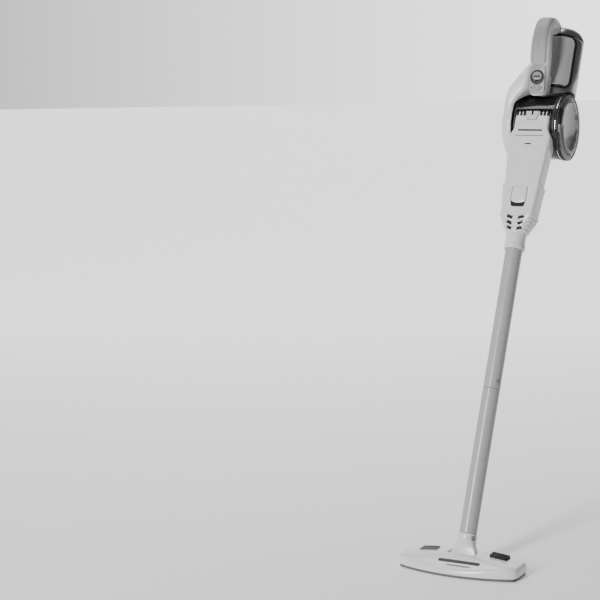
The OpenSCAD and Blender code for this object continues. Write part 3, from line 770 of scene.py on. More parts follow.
def make_underside():
    keep_node("head_sole", DARK_GREY, 0.4)
    keep_node("head_duct", SATIN_GREY, 0.3)
    keep_node("wheel_axles", STEEL, 0)
    keep_node("sole_screws", STEEL, 0.2)
    keep_node("neck_pins", STEEL, 0.3)
    strips = joined(tufts(-29.9, -26.9), tufts(-12.1, -9.1))
    piece("bristle_strips", strips, "floor_head", BRISTLE, "head_bristles", WORLD)
    right = [(3.4, 9.0), (4.2, 8.2), (4.2, 4.2), (5, 4.2), (5, 1.75)]
    left = [(-u, r) for u, r in reversed(right)]
    tread = revolve(filleted(left + right, 0.25, 3), 48)
    for side, name in ((-1, "left"), (1, "right")):
        space = WORLD @ shift(side * WHEEL_X, WHEEL_Y, 9.1)
        piece(f"wheel_{name}_tread", tread, f"{name}_wheel", RUBBER, f"wheel_{name}", space)


# ---------------------------------------------------------------- neck and tubes


# The lock buttons face this way round the stick, in degrees
LOCK_TURN = 60


def neck_ring(s):
    """Half width, half depth and corner radius of the neck at one height."""
    levels = (
        (49, 19.1, 19.1, 19.1), (36.5, 19.1, 19.1, 19.1), (33.5, 19.1, 17.6, 16.5), (29, 19.6, 14.2, 11),
        (24, 21.2, 11.8, 6), (18, 23.6, 10.6, 3.4), (10, 26.2, 10.1, 2.8), (6, 27.6, 10.2, 2.8),
        (0, 29, 11.6, 2.8), (-5, 29, 10.9, 2.8), (-9, 29, 7.9, 2.6), (-11.4, 28.4, 3.4, 2.2),
        (-11.9, 27.8, 1.0, 0.9),
    )
    for (s0, *a), (s1, *b) in zip(levels, levels[1:]):
        if s0 >= s >= s1:
            t = (s0 - s) / (s0 - s1)
            return [mixed(p, q, t) for p, q in zip(a, b)]
    return levels[-1][1:]


def lock_space(height):
    """A frame at a lock button, z outward from the tube's side."""
    return STICK @ (spin(LOCK_TURN, "Z") @ shift(0, 0, height) @ spin(90, "X"))


def make_neck():
    heights = [49, 48.6, 47.8, 42, 36.5, 35, 33.5, 31, 29, 26.5, 24, 21, 18, 14, 10, 8, 6, 3, 0]
    heights += [-2.5, -5, -7, -9, -10.4, -11.4, -11.9]
    rings = []
    for s in reversed(heights):
        half_w, half_d, r = neck_ring(s)
        trim = {49: 1.1, 48.6: 0.35}.get(s, 0)
        rings.append(at_height(rounded(half_w - trim, half_d - trim, r - trim), s))
    lock = lock_space(41)
    cuts = [(rod(4.9, 15, 30, 32), lock), (rod(7.5, -30, 12, 32), STICK)]
    piece("neck_body", loft(rings), "extension", WHITE, "neck", cuts=cuts, bevel=0.35)
    # Black disc at the floor of the button's hole: painted shade seen in the gap round the button.
    well = revolve(filleted([(14.6, 0.01), (14.6, 4.8), (15.2, 4.8), (15.2, 0.01)], 0.1, 3), 32, "z")
    piece("neck_button_gap_shade", well, "extension", BLACK, space=lock)
    cap = revolve([(17.0, 0), (17.0, 3.9), (18.9, 4.0), (19.6, 3.6), (19.9, 2.6), (20.0, 0)], 40, "z")
    piece("neck_button_cap", cap, "neck_release", SATIN_GREY, "neck_button", lock)


def tube_profile(low, high):
    """Half section of a tube and its spigot as (height, radius), ends rounded."""
    inner = TUBE_R - 2.2
    spigot, bore = TUBE_R - 2.3, TUBE_R - 4.2
    corners = [(low, inner), (low + 0.2, TUBE_R - 0.9), (low + 1.0, TUBE_R)]
    corners += [(high - 1.0, TUBE_R), (high - 0.2, TUBE_R - 0.9), (high, spigot)]
    corners += [(high + 29, spigot), (high + 30, TUBE_R - 2.9), (high + 30, bore)]
    return corners + [(high - 6, bore), (high - 6, inner)]


def make_tubes():
    lock = lock_space(361)
    ends = (("lower", NECK_TOP + 0.1, TUBE_JOINT + 0.1), ("upper", TUBE_JOINT + 0.2, COLLAR + 0.2))
    for name, low, high in ends:
        cuts = [(rod(4.5, 11, 26, 32), lock)] if name == "upper" else ()
        tube = revolve(tube_profile(low, high), 96, "z")
        piece(f"tube_{name}", tube, "extension", TUBE_GREY, f"{name}_tube", cuts=cuts, bevel=0.2)
    cap = revolve([(13.0, 0), (13.0, 3.9), (17.2, 3.9), (17.9, 3.4), (18.3, 2.2), (18.4, 0)], 40, "z")
    piece("tube_button_cap", cap, "tube_release", SATIN_GREY, "tube_button", lock)


# ---------------------------------------------------------------- adapter

def nozzle_half(s):
    return 34 + 12 * (s - TIP) / (SHOULDER - TIP)


def cone_part(s):
    """How far a height is from the round collar to the box-like sleeve, 0 to 1."""
    return held((s - CONE) / (SLEEVE - CONE), 0, 1)


def adapter_ring(s, grow=0.0):
    """The adapter's outline: round at the collar, a rounded box at the sleeve."""
    t = cone_part(s)
    t = mixed(t, smooth(t), 0.35)
    half_w = mixed(20.5, nozzle_half(max(s, SLEEVE)) + 3, t) + grow
    half_d = mixed(20.5, 22, t) + grow
    r = mixed(20.5, 6.5, t) + grow
    return rounded(half_w, half_d, r, 0, mixed(0, -1, t), 10)


def adapter_levels():
    """Heights and outward growth of the adapter's skin, with five ribs round its cone."""
    levels = [(641.3, 0.7), (641.9, 1.2), (650.6, 1.2), (651.6, 0.9), (652.2, 0), (CONE, 0)]
    for i in range(5):
        s = CONE + 2 + i * 7.6
        levels += [(s, -0.5), (s + 3.2, -0.3), (s + 4.2, 2.2), (s + 6.6, 2.4), (s + 7.5, 0.0)]
    levels += [(SLEEVE + 1.5, 0), (SLEEVE + 20, 0), (SLEEVE + 40, 0)]
    levels += [(SLEEVE_TOP - 6.6, 0), (SLEEVE_TOP - 5.8, 0.9), (SLEEVE_TOP - 0.8, 1.0), (SLEEVE_TOP, 0.4)]
    return levels


def make_adapter():
    rings = [at_height(adapter_ring(s, grow), s) for s, grow in adapter_levels()]
    for s in (SLEEVE_TOP, 760, 740, SLEEVE):
        rings.append(at_height(rounded(nozzle_half(s) + 0.4, 19.4, 4.4, 0, -1, 10), s))
    for s, half, r in ((CONE + 8, 16, 14), (CONE + 0.5, 15.2, 15.2), (641.3, 15.2, 15.2)):
        rings.append(at_height(rounded(half, half, r, 0, 0, 10), s))
    cuts = [(thin_plate(tongue_gap(), -30, -20.9), STICK)]
    cuts += [(pocket(s, x, -4, 4.6), STICK) for s, x in pocket_places()]
    skin = loft(rings, around=True)
    piece("adapter_body", skin, "extension", WHITE, "adapter", cuts=cuts, bevel=0.3)
    # Black liners at the pockets' floors: painted shade that makes the recesses dark.
    pocket_shades = [pocket(s, x, 4.2, 5.4, 0.1) for s, x in pocket_places()]
    piece("adapter_pocket_shades", joined(*pocket_shades), "extension", BLACK)
    latch_gap_shade()
    latch_tongue()


def pocket_places():
    """Heights and places of the slanted pockets, in pairs either side of the cone's middle."""
    rows = ((706.5, 12.2), (695.0, 12.0), (683.5, 10.6))
    return [(s, side * away) for s, away in rows for side in (-1, 1)]


def pocket(s, x, near, far, smaller=0.0):
    """A slanted pocket's form between two depths behind the cone's face."""
    t = cone_part(s)
    face = mixed(0, -1, t) - mixed(20.5, 22, t)
    side = 1 if x > 0 else -1
    half = mixed(5.6, 7.0, t)
    corners = [(-half, -1.2), (half - 1, -5.4), (half, 1.2), (1 - half, 6.0)]
    outline = [(x + side * u, s - v) for u, v in filleted(corners, 0.9, 3)]
    return thin_plate(inset(outline, smaller), face + near, face + far, 0.1)


def tongue_outline(grow):
    """The latch tongue's outline: straight sides and a full round lower end."""
    side, top, low = 16 + grow, SLEEVE + 60 + grow * 0.4, SLEEVE + 32
    points = [(-side, top), (-side, low)]
    for a in arc(-84, 84, 16):
        points.append((math.copysign(side * math.sin(abs(a)), a), low - (7 + grow) * math.cos(a)))
    return points + [(side, low), (side, top)]


def tongue_gap(grow=0.0):
    """The slot's outline round the tongue, a wide mouth under its free end."""
    mouth = []
    for u, v in tongue_outline(1.0 + grow):
        opened = held((17 - abs(u)) / 4, 0, 1) if v < SLEEVE + 32 else 0
        mouth.append((u, mixed(v, SLEEVE + 17 - grow, smooth(opened))))
    return mouth


def latch_gap_shade():
    """Black floor of the slot round the tongue: painted shade in the gap."""
    piece("latch_gap_shade", thin_plate(tongue_gap(0.2), -21.8, -20.7), "extension", BLACK)


def latch_tongue():
    shapes = [prism(tongue_outline(-0.3), -23.5, -20.9, 0.6, across_y)]
    for i in range(3):
        ridge = rounded(7, 0.55, 0.5, 0, SLEEVE + 33 + 3 * i, 3)
        shapes.append(prism(ridge, -24.0, -22.9, 0.3, across_y))
    piece("latch_tongue", joined(*shapes), "latch", WHITE, "adapter_latch")


# ---------------------------------------------------------------- nozzle


# Height of the button that lets the stored tool go
SIDE_BUTTON = TIP + 82


def nozzle_width(s):
    if s <= SHOULDER:
        return nozzle_half(s)
    if s >= NARROW:
        return 37
    return mixed(46, 37, (s - SHOULDER) / (NARROW - SHOULDER))


def nozzle_shape():
    """The nozzle as one hollow form, open at the tip."""
    outer, inner = [], []
    heights = [TIP, TIP + 0.5, TIP + 1.6, 780, 830, 870, 880, 884, 887, 890, 895, 900, 903, 906, 910, 930]
    trims = {TIP: 1.2, TIP + 0.5: 0.4, 940.2: 0.6, NOZZLE_TOP: 1.8}
    for s in heights + [938.5, 940.2, NOZZLE_TOP]:
        width, trim = nozzle_width(s), trims.get(s, 0)
        if s > 870:
            width = (nozzle_width(s - 2.5) + width + nozzle_width(s + 2.5)) / 3
        outer.append(at_height(rounded(width - trim, 19 - trim, 4.5 - trim, 0, -1, 7), s))
    for s in (TIP, 780, 870, 884, 888, 898, 904, 930, 937):
        inner.append(at_height(rounded(nozzle_width(s) - 2.6, 16.4, 2.4, 0, -1, 7), s))
    return loft(list(reversed(inner)) + outer)


def half_space(front):
    y = (-60, -2.06) if front else (-1.94, 60)
    return box_shape((-80, 80), y, (700, 980))


def bowl_tools():
    """The room that the bowl and its end ring take out of the nozzle."""
    return [(x_cylinder(SHELL_R + 0.25, -90, 90), BOWL), (x_cylinder(BOWL_R + 8, 43.5, 90), BOWL)]


def nozzle_front():
    dish = thin_plate(rounded(26, 5.5, 5, 0, 916), -22, -19.3)
    window = thin_plate(rounded(24.2, 11.7, 3, 0, TIP + 14.5, 6), -24, -12)
    cuts = [(half_space(False), STICK)] + bowl_tools() + [(dish, STICK), (window, STICK)]
    for x in (-33, -25, -17.5, 19, 26.5, 34):
        notch = block((-2.9, 2.9), (-24, -15), (931.2, 950), 0.05, 0.8)
        cuts.append((moved(notch, x), STICK))
    cuts.append((thin_plate(filleted(clip_corners(0.9), 2, 4), -22, -18.4), STICK))
    piece("nozzle_front", nozzle_shape(), "nozzle", WHITE, "nozzle_cover", cuts=cuts, bevel=0.4)


def make_nozzle():
    nozzle_front()
    button_room = (turned(x_cylinder(6.5, -60, -35, 40), shift(0, 8, SIDE_BUTTON)), STICK)
    cuts = [(half_space(True), STICK)] + bowl_tools() + [button_room]
    piece("nozzle_back", nozzle_shape(), "nozzle", WHITE, "nozzle_base", cuts=cuts, bevel=0.4)
    # Black strip behind the notches in the top edge: painted shade that darkens them.
    piece("nozzle_vent_shade", block((-36, 36), (-18.2, -15.5), (905, 940.4), 0.2, 0.3), "nozzle", BLACK)
    clip()
    lens = prism(rounded(23.8, 11.3, 2.7, 0, TIP + 14.5, 6), -19.7, -17.7, 0.35, across_y)
    piece("tip_window_lens", lens, "nozzle", DARK_GREY, "tip_window")
    nozzle_marks()
    keep_node("crevice_tool", DARK_GREY, 0.4)
    side_button()
    piece("base_foot", block((28, 34), (17.9, 20.5), (TIP + 6, TIP + 20), 0.6, 1), "nozzle", WHITE)


def clip_corners(grow):
    """The clip's trapezoid, wider at the nozzle's edge."""
    low, high = BOWL_S - 13 - grow, NOZZLE_TOP + 0.4
    return [(-9.5 - grow, low), (9.5 + grow, low), (15 + grow, high), (-15 - grow, high)]


def clip():
    """Trapezoid clip in the middle of the nozzle's top edge."""
    # Black bed under the clip that shows round its edges: painted shadow outline.
    bed = thin_plate(filleted(clip_corners(0.85), 1.9, 4), -19.0, -18.2)
    piece("nozzle_clip_shadow_outline", bed, "nozzle", BLACK)
    body = prism(filleted(clip_corners(0), 1.6, 4), -21.2, -19.1, 0.5, across_y)
    cuts = [(block((-2.2, 2.2), (-26, -14), (933, 950), 0.05, 0.6), STICK)]
    piece("nozzle_clip_plate", body, "nozzle", WHITE_SATIN, "nozzle_clip", cuts=cuts,
          bevel=0.2)


def nozzle_marks():
    """Plain printed bars in place of the lettering."""
    marks = (("upper", 899, 27, 1.9), ("middle", 887, 31, 1.1), ("lower", 869, 7, 1.5))
    for name, s, half, thick in marks:
        material = SATIN_GREY if name == "middle" else DARK_GREY
        bar = thin_plate(rounded(half, thick, thick, 0, s, 5), -20.12, -19.6)
        piece(f"nozzle_mark_{name}", bar, "nozzle", material)


def side_button():
    """Release button on the nozzle's left side, with grip ridges."""
    x = -nozzle_half(SIDE_BUTTON)
    space = STICK @ shift(0, 8, SIDE_BUTTON)
    profile = [(-36.6, 0), (-36.6, 6.0), (x - 0.9, 6.0), (x - 1.6, 5.3), (x - 1.3, 3.5), (x - 1.1, 0)]
    shapes = [revolve(profile, 48)]
    for i in (-1, 0, 1):
        shapes.append(prism(rounded(0.45, 3.6, 0.4, 1.9 * i, 0, 3), x - 1.9, x - 0.8, 0.2, across_x))
    piece("side_button_cap", joined(*shapes), "crevice_release", DARK_GREY, "crevice_button", space)
    corners = [(x + 0.4, 6.1), (x - 0.5, 6.5), (x - 0.5, 8.2), (x + 0.6, 8.6), (x + 0.6, 6.1)]
    piece("side_button_collar", revolve(filleted(corners, 0.2, 3), 48), "nozzle", SATIN_GREY, space=space)


# ---------------------------------------------------------------- bowl and door

RING_LEFT = 44
RING_RIGHT = 50
BOWL_LEFT = -46
HUB_R = 32.1
HINGE_TURN = 225
CATCH_TURN = 45


def make_bowl():
    left, right = BOWL_LEFT, RING_LEFT - 0.1
    profile = [(left, HUB_R + 0.1), (left, SHELL_R - 3), (left + 0.9, SHELL_R - 0.9), (left + 3, SHELL_R)]
    profile += [(right, SHELL_R), (right, SHELL_R - 2.2), (left + 3, SHELL_R - 2.2)]
    profile += [(left + 2.6, HUB_R + 0.1)]
    inlet = box_shape((-29, 29), (-90, -20), (-47, -15))
    piece("bowl_wall", revolve(profile, 128), "nozzle", SMOKE, "bowl_shell", BOWL, [(inlet, BOWL)])
    places = ((-44.5, 3.2), (38.6, 1.0), (40.6, 3.2))
    bands = [ring_of(SHELL_R + 0.25, SHELL_R - 0.4, x, x + width, 0.12) for x, width in places]
    piece("bowl_bands", joined(*bands), "nozzle", DARK_GREY, space=BOWL)
    end_ring = ring_of(BOWL_R, 62.8, RING_LEFT, RING_RIGHT, 1.2)
    piece("bowl_end_ring", end_ring, "nozzle", BLACK, "bowl_ring", BOWL)
    bright = ring_of(BOWL_R + 0.35, BOWL_R - 0.6, RING_LEFT + 3.2, RING_LEFT + 4.4, 0.2)
    piece("bowl_bright_ring", bright, "nozzle", CHROME, space=BOWL)
    keep_node("bowl_gasket", RUBBER, 0.2)
    keep_node("inlet_flap", RUBBER, 0.3)
    keep_node("door_hinge", DARK_GREY, 0.5)
    make_filter()
    make_door()


def make_filter():
    """Ribs round the metal filter cup, and the filter inside it."""
    ribs = []
    for t in (0.1, 0.3, 0.5, 0.7, 0.9):
        ribs.append(ring_of(40.6 + 4.5 * t, 39 + 4.5 * t, 8 + 34 * t, 8.9 + 34 * t, 0.2, 96))
    piece("filter_cup_ribs", joined(*ribs), "nozzle", DARK_GREY, space=BOWL)
    keep_node("filter_cup", SILVER, 0.3)
    keep_node("filter_pleats", PAPER, 0)
    keep_node("filter_screen", STEEL, 0.2)


def door_profile():
    """Half section of the clear door as (distance from the bowl's middle, radius)."""
    outer = [(56.2, 0), (56.2, 39.5), (57.2, 45), (58.6, 49), (59.2, 51.5), (59.0, 54), (58.2, 57)]
    rim = [(54.4, 69.2), (53.7, 69.9), (51.2, 69.9), (51.2, 67.4), (52.9, 67.2)]
    inner = [(56.6, 54.8), (57.1, 52), (56.6, 49.8), (55.4, 45.8), (54.1, 40.4), (54.0, 0)]
    return outer + rim + inner


def disc_profile():
    """Half section of the metal disc that shows through the door."""
    outer = [(52.2, 0), (52.6, 8), (52.6, 40), (53.3, 44), (54.6, 48.8), (55.2, 51.4), (55.2, 53)]
    rim = [(54.6, 55.4), (51.9, 66.2), (51.0, 66.2), (53.6, 55)]
    inner = [(53.8, 51), (51.6, 42), (51.2, 38), (51.2, 0)]
    return outer + rim + inner


def make_door():
    hinge = BOWL @ spin(HINGE_TURN, "X") @ shift(54, 73, 0)
    button = BOWL @ spin(CATCH_TURN, "X") @ shift(0, 56, 0)
    hole = x_cylinder(6.5, 40, 70, 48)
    piece("door_cap", revolve(door_profile(), 144), "door", CLEAR, "bowl_door", BOWL, [(hole, button)])
    knuckle = revolve([(-8, 1.75), (-8, 3.1), (-7.6, 3.6), (7.6, 3.6), (8, 3.1), (8, 1.75)], 32, "z")
    web = block((-3.0, -0.5), (-7.5, -2.4), (-8, 8), 0.3, 0.4)
    piece("door_knuckle", joined(knuckle, web), "door", DARK_GREY, space=hinge)
    piece("door_button_well", ring_of(6.45, 6.15, 53.0, 57.9, 0.1, 48), "door", SATIN_GREY, space=button)
    cap = revolve([(52.2, 0), (52.2, 5.6), (57.4, 5.6), (58.1, 4.9), (57.9, 3.4), (57.6, 0)], 48)
    piece("door_button_cap", cap, "door_release", SATIN_GREY, "door_button", button)
    hole = x_cylinder(6.7, 40, 70, 48)
    disc = revolve(disc_profile(), 144)
    piece("door_disc", disc, "door", CONE_METAL, space=BOWL, cuts=[(hole, button)])
    piece("door_rim", ring_of(70.15, 65.6, 52.4, 55.3, 0.5, 144), "door", BLACK, space=BOWL)
    crescent()


def crescent():
    """Grey cover with a stepped lip over the door's lower front, and the dark catch beside it."""
    corners = [(54.6, 68.9), (56.2, 49), (60.2, 47.5), (61.0, 50.5), (59.6, 53.5), (60.2, 62), (58.6, 68.9)]
    cover = revolve(filleted(corners, 0.7, 3), 72, "x", 196, 294)
    piece("door_crescent", cover, "door", SATIN_GREY, space=BOWL, bevel=0.6)
    corners = [(54.6, 68.6), (57.2, 55), (59.6, 54), (59.4, 60), (57.4, 68.6)]
    catch = revolve(filleted(corners, 0.6, 3), 30, "x", 164, 195)
    piece("door_catch", catch, "door", BLACK, space=BOWL, bevel=0.4)
    corners = [(60.0, 54.4), (60.0, 60.6), (60.9, 60.6), (60.9, 54.4)]
    step = revolve(filleted(corners, 0.3, 2), 72, "x", 202, 288)
    piece("door_crescent_step", step, "door", DARK_GREY, space=BOWL, bevel=0.2)


# ---------------------------------------------------------------- side arm


# The arm's melted skin: the size of its grain, how often it is relaxed and how much of it is kept
SKIN_VOXEL = 1.25
SKIN_PASSES = 14
SKIN_KEPT = 0.35


def soften(thing):
    """Melts joined forms into one moulded skin with soft inner corners."""
    remesh = thing.modifiers.new("melt", "REMESH")
    remesh.mode = "VOXEL"
    remesh.voxel_size = SKIN_VOXEL * MM
    relax = thing.modifiers.new("relax", "SMOOTH")
    relax.factor = 0.5
    relax.iterations = SKIN_PASSES
    thin = thing.modifiers.new("thin", "DECIMATE")
    thin.ratio = SKIN_KEPT
    graph = bpy.context.evaluated_depsgraph_get()
    made = bpy.data.meshes.new_from_object(thing.evaluated_get(graph))
    thing.modifiers.clear()
    old = thing.data
    thing.data = made
    bpy.data.meshes.remove(old)


def section(s, x, y, r):
    """One rounded cross-section of the stick at a height, between limits."""
    cx, cy = (x[0] + x[1]) / 2, (y[0] + y[1]) / 2
    return at_height(rounded((x[1] - x[0]) / 2, (y[1] - y[0]) / 2, r, cx, cy, 6), s)


def wing_form():
    """From the disc's front edge up to the left side of the handle."""
    steps = (
        (936, (-70, -52), (-14, 20), 6), (950, (-70, -51), (-15, 22), 6), (962, (-69.5, -48), (-17, 24), 7),
        (975, (-68.5, -40), (-21, 26), 8), (985, (-66.0, -30), (-24, 26), 9),
        (995, (-61.5, -20), (-26.5, 24), 10), (1004, (-55.5, -18.5), (-28, 22), 10),
        (1014, (-48.0, -18.5), (-29.5, 18), 9),
        (1023, (-40.5, -18.5), (-30.5, 12), 8), (1031, (-34.0, -18.5), (-31, 6), 6),
        (1039, (-27.5, -18.5), (-31, 1), 4), (1046, (-22.5, -18.5), (-30.5, -4), 2),
    )
    return loft([section(s, x, y, r) for s, x, y, r in steps])


def shoulder_form():
    """From the back of the disc up to the housing's side."""
    steps = (
        (930, (-69, -50), (12, 100), 7), (960, (-69, -50), (10, 100), 8), (985, (-68, -49), (10, 99), 9),
        (1005, (-66, -45), (13, 96), 10), (1020, (-62, -34), (17, 91), 10), (1036, (-56.5, -30), (21, 85), 9),
        (1048, (-52.5, -30), (25, 81), 7), (1056, (-50, -30), (30, 76), 5),
    )
    return loft([section(s, x, y, r) for s, x, y, r in steps])


def make_arm():
    left, right = ARM_LEFT - 2.5, ARM_RIGHT
    disc = [(left, 0), (left, 40), (left + 0.3, 56), (left + 1.2, 63), (left + 3.0, 67.5), (left + 5.6, 70.4)]
    disc += [(left + 9, 71.8), (left + 13, 72), (right - 1, 72), (right, 71.2), (right, 0)]
    thing = add_object("side_arm_skin", to_mesh("side_arm_skin", revolve(disc, 120), BOWL))
    cut_all(thing, [(wing_form(), STICK), (shoulder_form(), STICK)], "UNION")
    soften(thing)
    swing = x_cylinder(74.2, ARM_RIGHT, 60)
    hollow = [(ARM_LEFT + 3, 0), (ARM_LEFT + 3, 58), (ARM_LEFT + 7, 66), (ARM_LEFT + 12, 68.4)]
    hollow += [(ARM_RIGHT + 20, 68.6), (ARM_RIGHT + 20, 0)]
    grip_side = box_shape((-19.15, 60), (-60, 120), (900, 1080))
    cut_all(thing, [(swing, BOWL), (revolve(hollow), BOWL)])
    cut_all(thing, [(stadium_tool(1.0, 980, 1120), STICK), (grip_side, STICK)])
    smooth_faces(thing.data, 40)
    add_bevel(thing, 0.7, 40)
    dress(thing, "handset", WHITE, "side_arm")
    piece("arm_liner", ring_of(68.2, 30.5, ARM_LEFT + 15, ARM_LEFT + 17), "handset", BLACK, space=BOWL)
    piece("arm_seal", ring_of(68.3, 63.5, ARM_RIGHT - 2.6, ARM_RIGHT - 0.3), "handset", RUBBER, space=BOWL)
    keep_node("pivot_hub", SATIN_GREY, 0.5)


# ---------------------------------------------------------------- housing

def stadium(inset_by, per):
    """The housing's cross-section, in the stick's frame."""
    r = HOUSING_R - inset_by
    points = []
    for k, side in enumerate((1, -1)):
        middle = HOUSING_X + side * HOUSING_HALF
        for a in arc(180 * k - 90, 180 * k + 90, per):
            points.append((middle + r * math.cos(a), HOUSING_Y + r * math.sin(a)))
    return points


def stadium_rings(steps, per=32):
    """Rings of the housing's section, from pairs of height and inset."""
    return [at_height(stadium(d, per), s) for s, d in steps]


def stadium_tool(grow, s0, s1):
    return loft(stadium_rings([(s0, -grow), (s1, -grow)], 40))


def on_housing(u, s, grow=0.0):
    """A point over the housing's skin, u along the girth from its front."""
    r = HOUSING_R + grow
    side = 1 if u >= 0 else -1
    if abs(u) <= HOUSING_HALF:
        return (HOUSING_X + u, HOUSING_Y - r, s)
    a = (abs(u) - HOUSING_HALF) / HOUSING_R
    return (HOUSING_X + side * (HOUSING_HALF + r * math.sin(a)), HOUSING_Y - r * math.cos(a), s)


PANEL_HALF = 54
PANEL_LOW = 1015
PANEL_HIGH = 1127
PANEL_R = 15


def panel_outline(smaller):
    """The top panel's dense outline in girth and height, set in from its trim."""
    middle, half = (PANEL_LOW + PANEL_HIGH) / 2, (PANEL_HIGH - PANEL_LOW) / 2
    return dense(rounded(PANEL_HALF - smaller, half - smaller, PANEL_R - smaller, 0, middle), 2.2)


def make_top_panel():
    """Glossy panel let into the housing's front, inside its trim. Its white is painted down to grey: painted
    shade of the handle above it.
    """
    outline = panel_outline(2.6)
    rings = []
    for grow, d in ((-1.2, 0), (0.2, 0), (0.75, 0.25), (1.0, 0.8), (1.0, 1.6), (0.55, 2.4), (0.5, 3.6)):
        rings.append([on_housing(u, s, grow) for u, s in inset(outline, d)])
    base = inset(outline, 3.6)
    for t in (0.15, 0.32, 0.5, 0.66, 0.8, 0.9, 0.985):
        ring = []
        for u, s in base:
            target = held(s, PANEL_LOW + 50, PANEL_HIGH - 50)
            ring.append(on_housing(mixed(u, 0, t), mixed(s, target, t), 0.5))
        rings.append(ring)
    piece("top_panel", loft(rings), "handset", PANEL_SHADED, "top_shell")


def band_round(name, grow, outer, inner, material, replaces=None):
    """A closed band round the top panel, between two insets."""
    soft = min(0.5, (inner - outer) / 3)
    steps = ((-1.0, outer), (grow - soft, outer), (grow, outer + soft))
    steps += ((grow, inner - soft), (grow - soft, inner), (-1.0, inner))
    rings = []
    for g, d in steps:
        rings.append([on_housing(u, s, g) for u, s in inset(panel_outline(0), d)])
    piece(name, loft(rings, around=True), "handset", material, replaces)


def housing_skin():
    low, high = HOUSING + 0.1, HOUSING_END
    outer = [(low, 1.2), (HOUSING + 0.5, 0.4), (HOUSING + 1.4, 0), (1050, 0), (1090, 0)]
    outer += [(high - 1.2, 0), (high - 0.4, 0.3), (high, 0.9)]
    skin = loft(stadium_rings(outer + [(high, 2.6), (low, 2.6)]), around=True)
    socket = STICK @ shift(HOUSING_X, HOUSING_Y + HOUSING_R - 10, HOUSING + 98) @ spin(-90, "X")
    duct = box_shape((-80, -36), (HOUSING_Y - 15, HOUSING_Y + 15), (HOUSING + 2, HOUSING + 13))
    cuts = [(rod(5.1, 0, 30, 32), socket), (duct, STICK)]
    piece("housing_skin", skin, "handset", SILVER, "motor_housing", cuts=cuts)


def housing_neck():
    """Dark collar between the housing and the bowl."""
    low, high = BOWL_S + 54, HOUSING
    steps = [(low, 3.4), (low + 0.6, 2.4), (low + 2, 2.0), (high - 1.4, 2.0), (high - 0.4, 2.3), (high, 3.2)]
    shape = loft(stadium_rings(steps + [(high, 5), (low, 5)]), around=True)
    swing = [(x_cylinder(74.0, -90, 90), BOWL)]
    piece("housing_neck", shape, "handset", COLLAR_GREY, "housing_collar", STICK, swing,
          bevel=0.4)


def make_housing():
    housing_skin()
    make_top_panel()
    band_round("panel_gap", 0.5, -4.6, 1.1, BLACK, "trim_strips")
    band_round("panel_trim", 0.75, 1.0, 2.7, CHROME)
    make_rear_cap()
    housing_neck()
    keep_node("charge_socket", BLACK, 0.3)
    keep_node("cap_screws", STEEL, 0.2)


def dome_rings(grow=0.0):
    """The rear cap's rounded end, ring by ring."""
    steps = []
    for a in arc(6, 90, 12):
        height = max(1.6, (CAP_END - HOUSING_END) * math.sin(a) ** 0.9)
        steps.append((HOUSING_END + height + grow, 22 * (1 - math.cos(a)) - grow))
    steps += [(CAP_END + grow, d) for d in (27, 33, 40)]
    return stadium_rings(steps, 24)


def cap_cuts():
    """Five vents, two screw wells, a slot at the side and the hollow under the cap's end."""
    end = HOUSING_END
    tools = []
    wide, tall = (HOUSING_X - 16, HOUSING_X + 16), (end + 16, CAP_END + 5)
    for i in range(-2, 3):
        y = HOUSING_Y + 8 * i
        tools.append(block(wide, (y - 1.4, y + 1.4), tall, 0.1, 1.3))
    for x in (-28, 28):
        tools.append(moved(rod(3.3, end + 14, CAP_END + 5, 32), HOUSING_X + x, HOUSING_Y))
    side = (HOUSING_Y - 14, HOUSING_Y + 14)
    tools.append(block((HOUSING_X + 40, HOUSING_X + 60), side, (end + 2.4, end + 7.4), 0.8, 1))
    tools.append(loft(stadium_rings([(end - 5, 14), (end + 14, 14)], 24)))
    return [(tool, STICK) for tool in tools]


def make_rear_cap():
    end = HOUSING_END
    rings = stadium_rings([(end + 0.1, 1.0), (end + 0.5, 0.35), (end + 1.3, 0)], 24) + dome_rings()
    piece("rear_cap_skin", loft(rings), "handset", SILVER, "rear_cap", cuts=cap_cuts(), bevel=0.3)
    liner = loft(stadium_rings([(end + 14.5, 17), (end + 17, 17)], 24))
    piece("rear_cap_liner", liner, "handset", BLACK)
    side = (HOUSING_Y - 13.4, HOUSING_Y + 13.4)
    slot = block((HOUSING_X + 41, HOUSING_X + 50.5), side, (end + 2.8, end + 7.0), 0.4, 1)
    piece("rear_slot_liner", slot, "handset", BLACK)


# ---------------------------------------------------------------- handle

GRIP_LOW = Vector((-2, BOWL_S + 47))
GRIP_BEND = Vector((-21, BOWL_S + 110))
GRIP_FOOT = Vector((24, BOWL_S + 206))
GRIP_DIR = (GRIP_BEND - GRIP_LOW).normalized()
GRIP_STRAIGHT = (GRIP_BEND - GRIP_LOW).length
SLIDER_AT = 40
BUTTON_AT = 16


def grip_curve(t):
    """The handle's bend, a cubic curve from its straight part to its foot."""
    a, d = GRIP_BEND, GRIP_FOOT
    b = a + 60 * GRIP_DIR + Vector((-5, 0))
    c = Vector((-45, GRIP_FOOT.y + 12))
    return (1 - t) ** 3 * a + 3 * (1 - t) ** 2 * t * b + 3 * (1 - t) * t * t * c + t ** 3 * d


def grip_path(straight=9, curved=30, tail=3):
    """The handle's centre line and its headings."""
    points = [GRIP_LOW + GRIP_DIR * (GRIP_STRAIGHT * i / straight) for i in range(straight)]
    points += [grip_curve(i / curved) for i in range(curved + 1)]
    points += [GRIP_FOOT + Vector((6 * (i + 1), -1.5 * (i + 1))) for i in range(tail)]
    headings = []
    for i in range(len(points)):
        a, b = points[max(0, i - 1)], points[min(len(points) - 1, i + 1)]
        headings.append((b - a).normalized())
    return points, headings


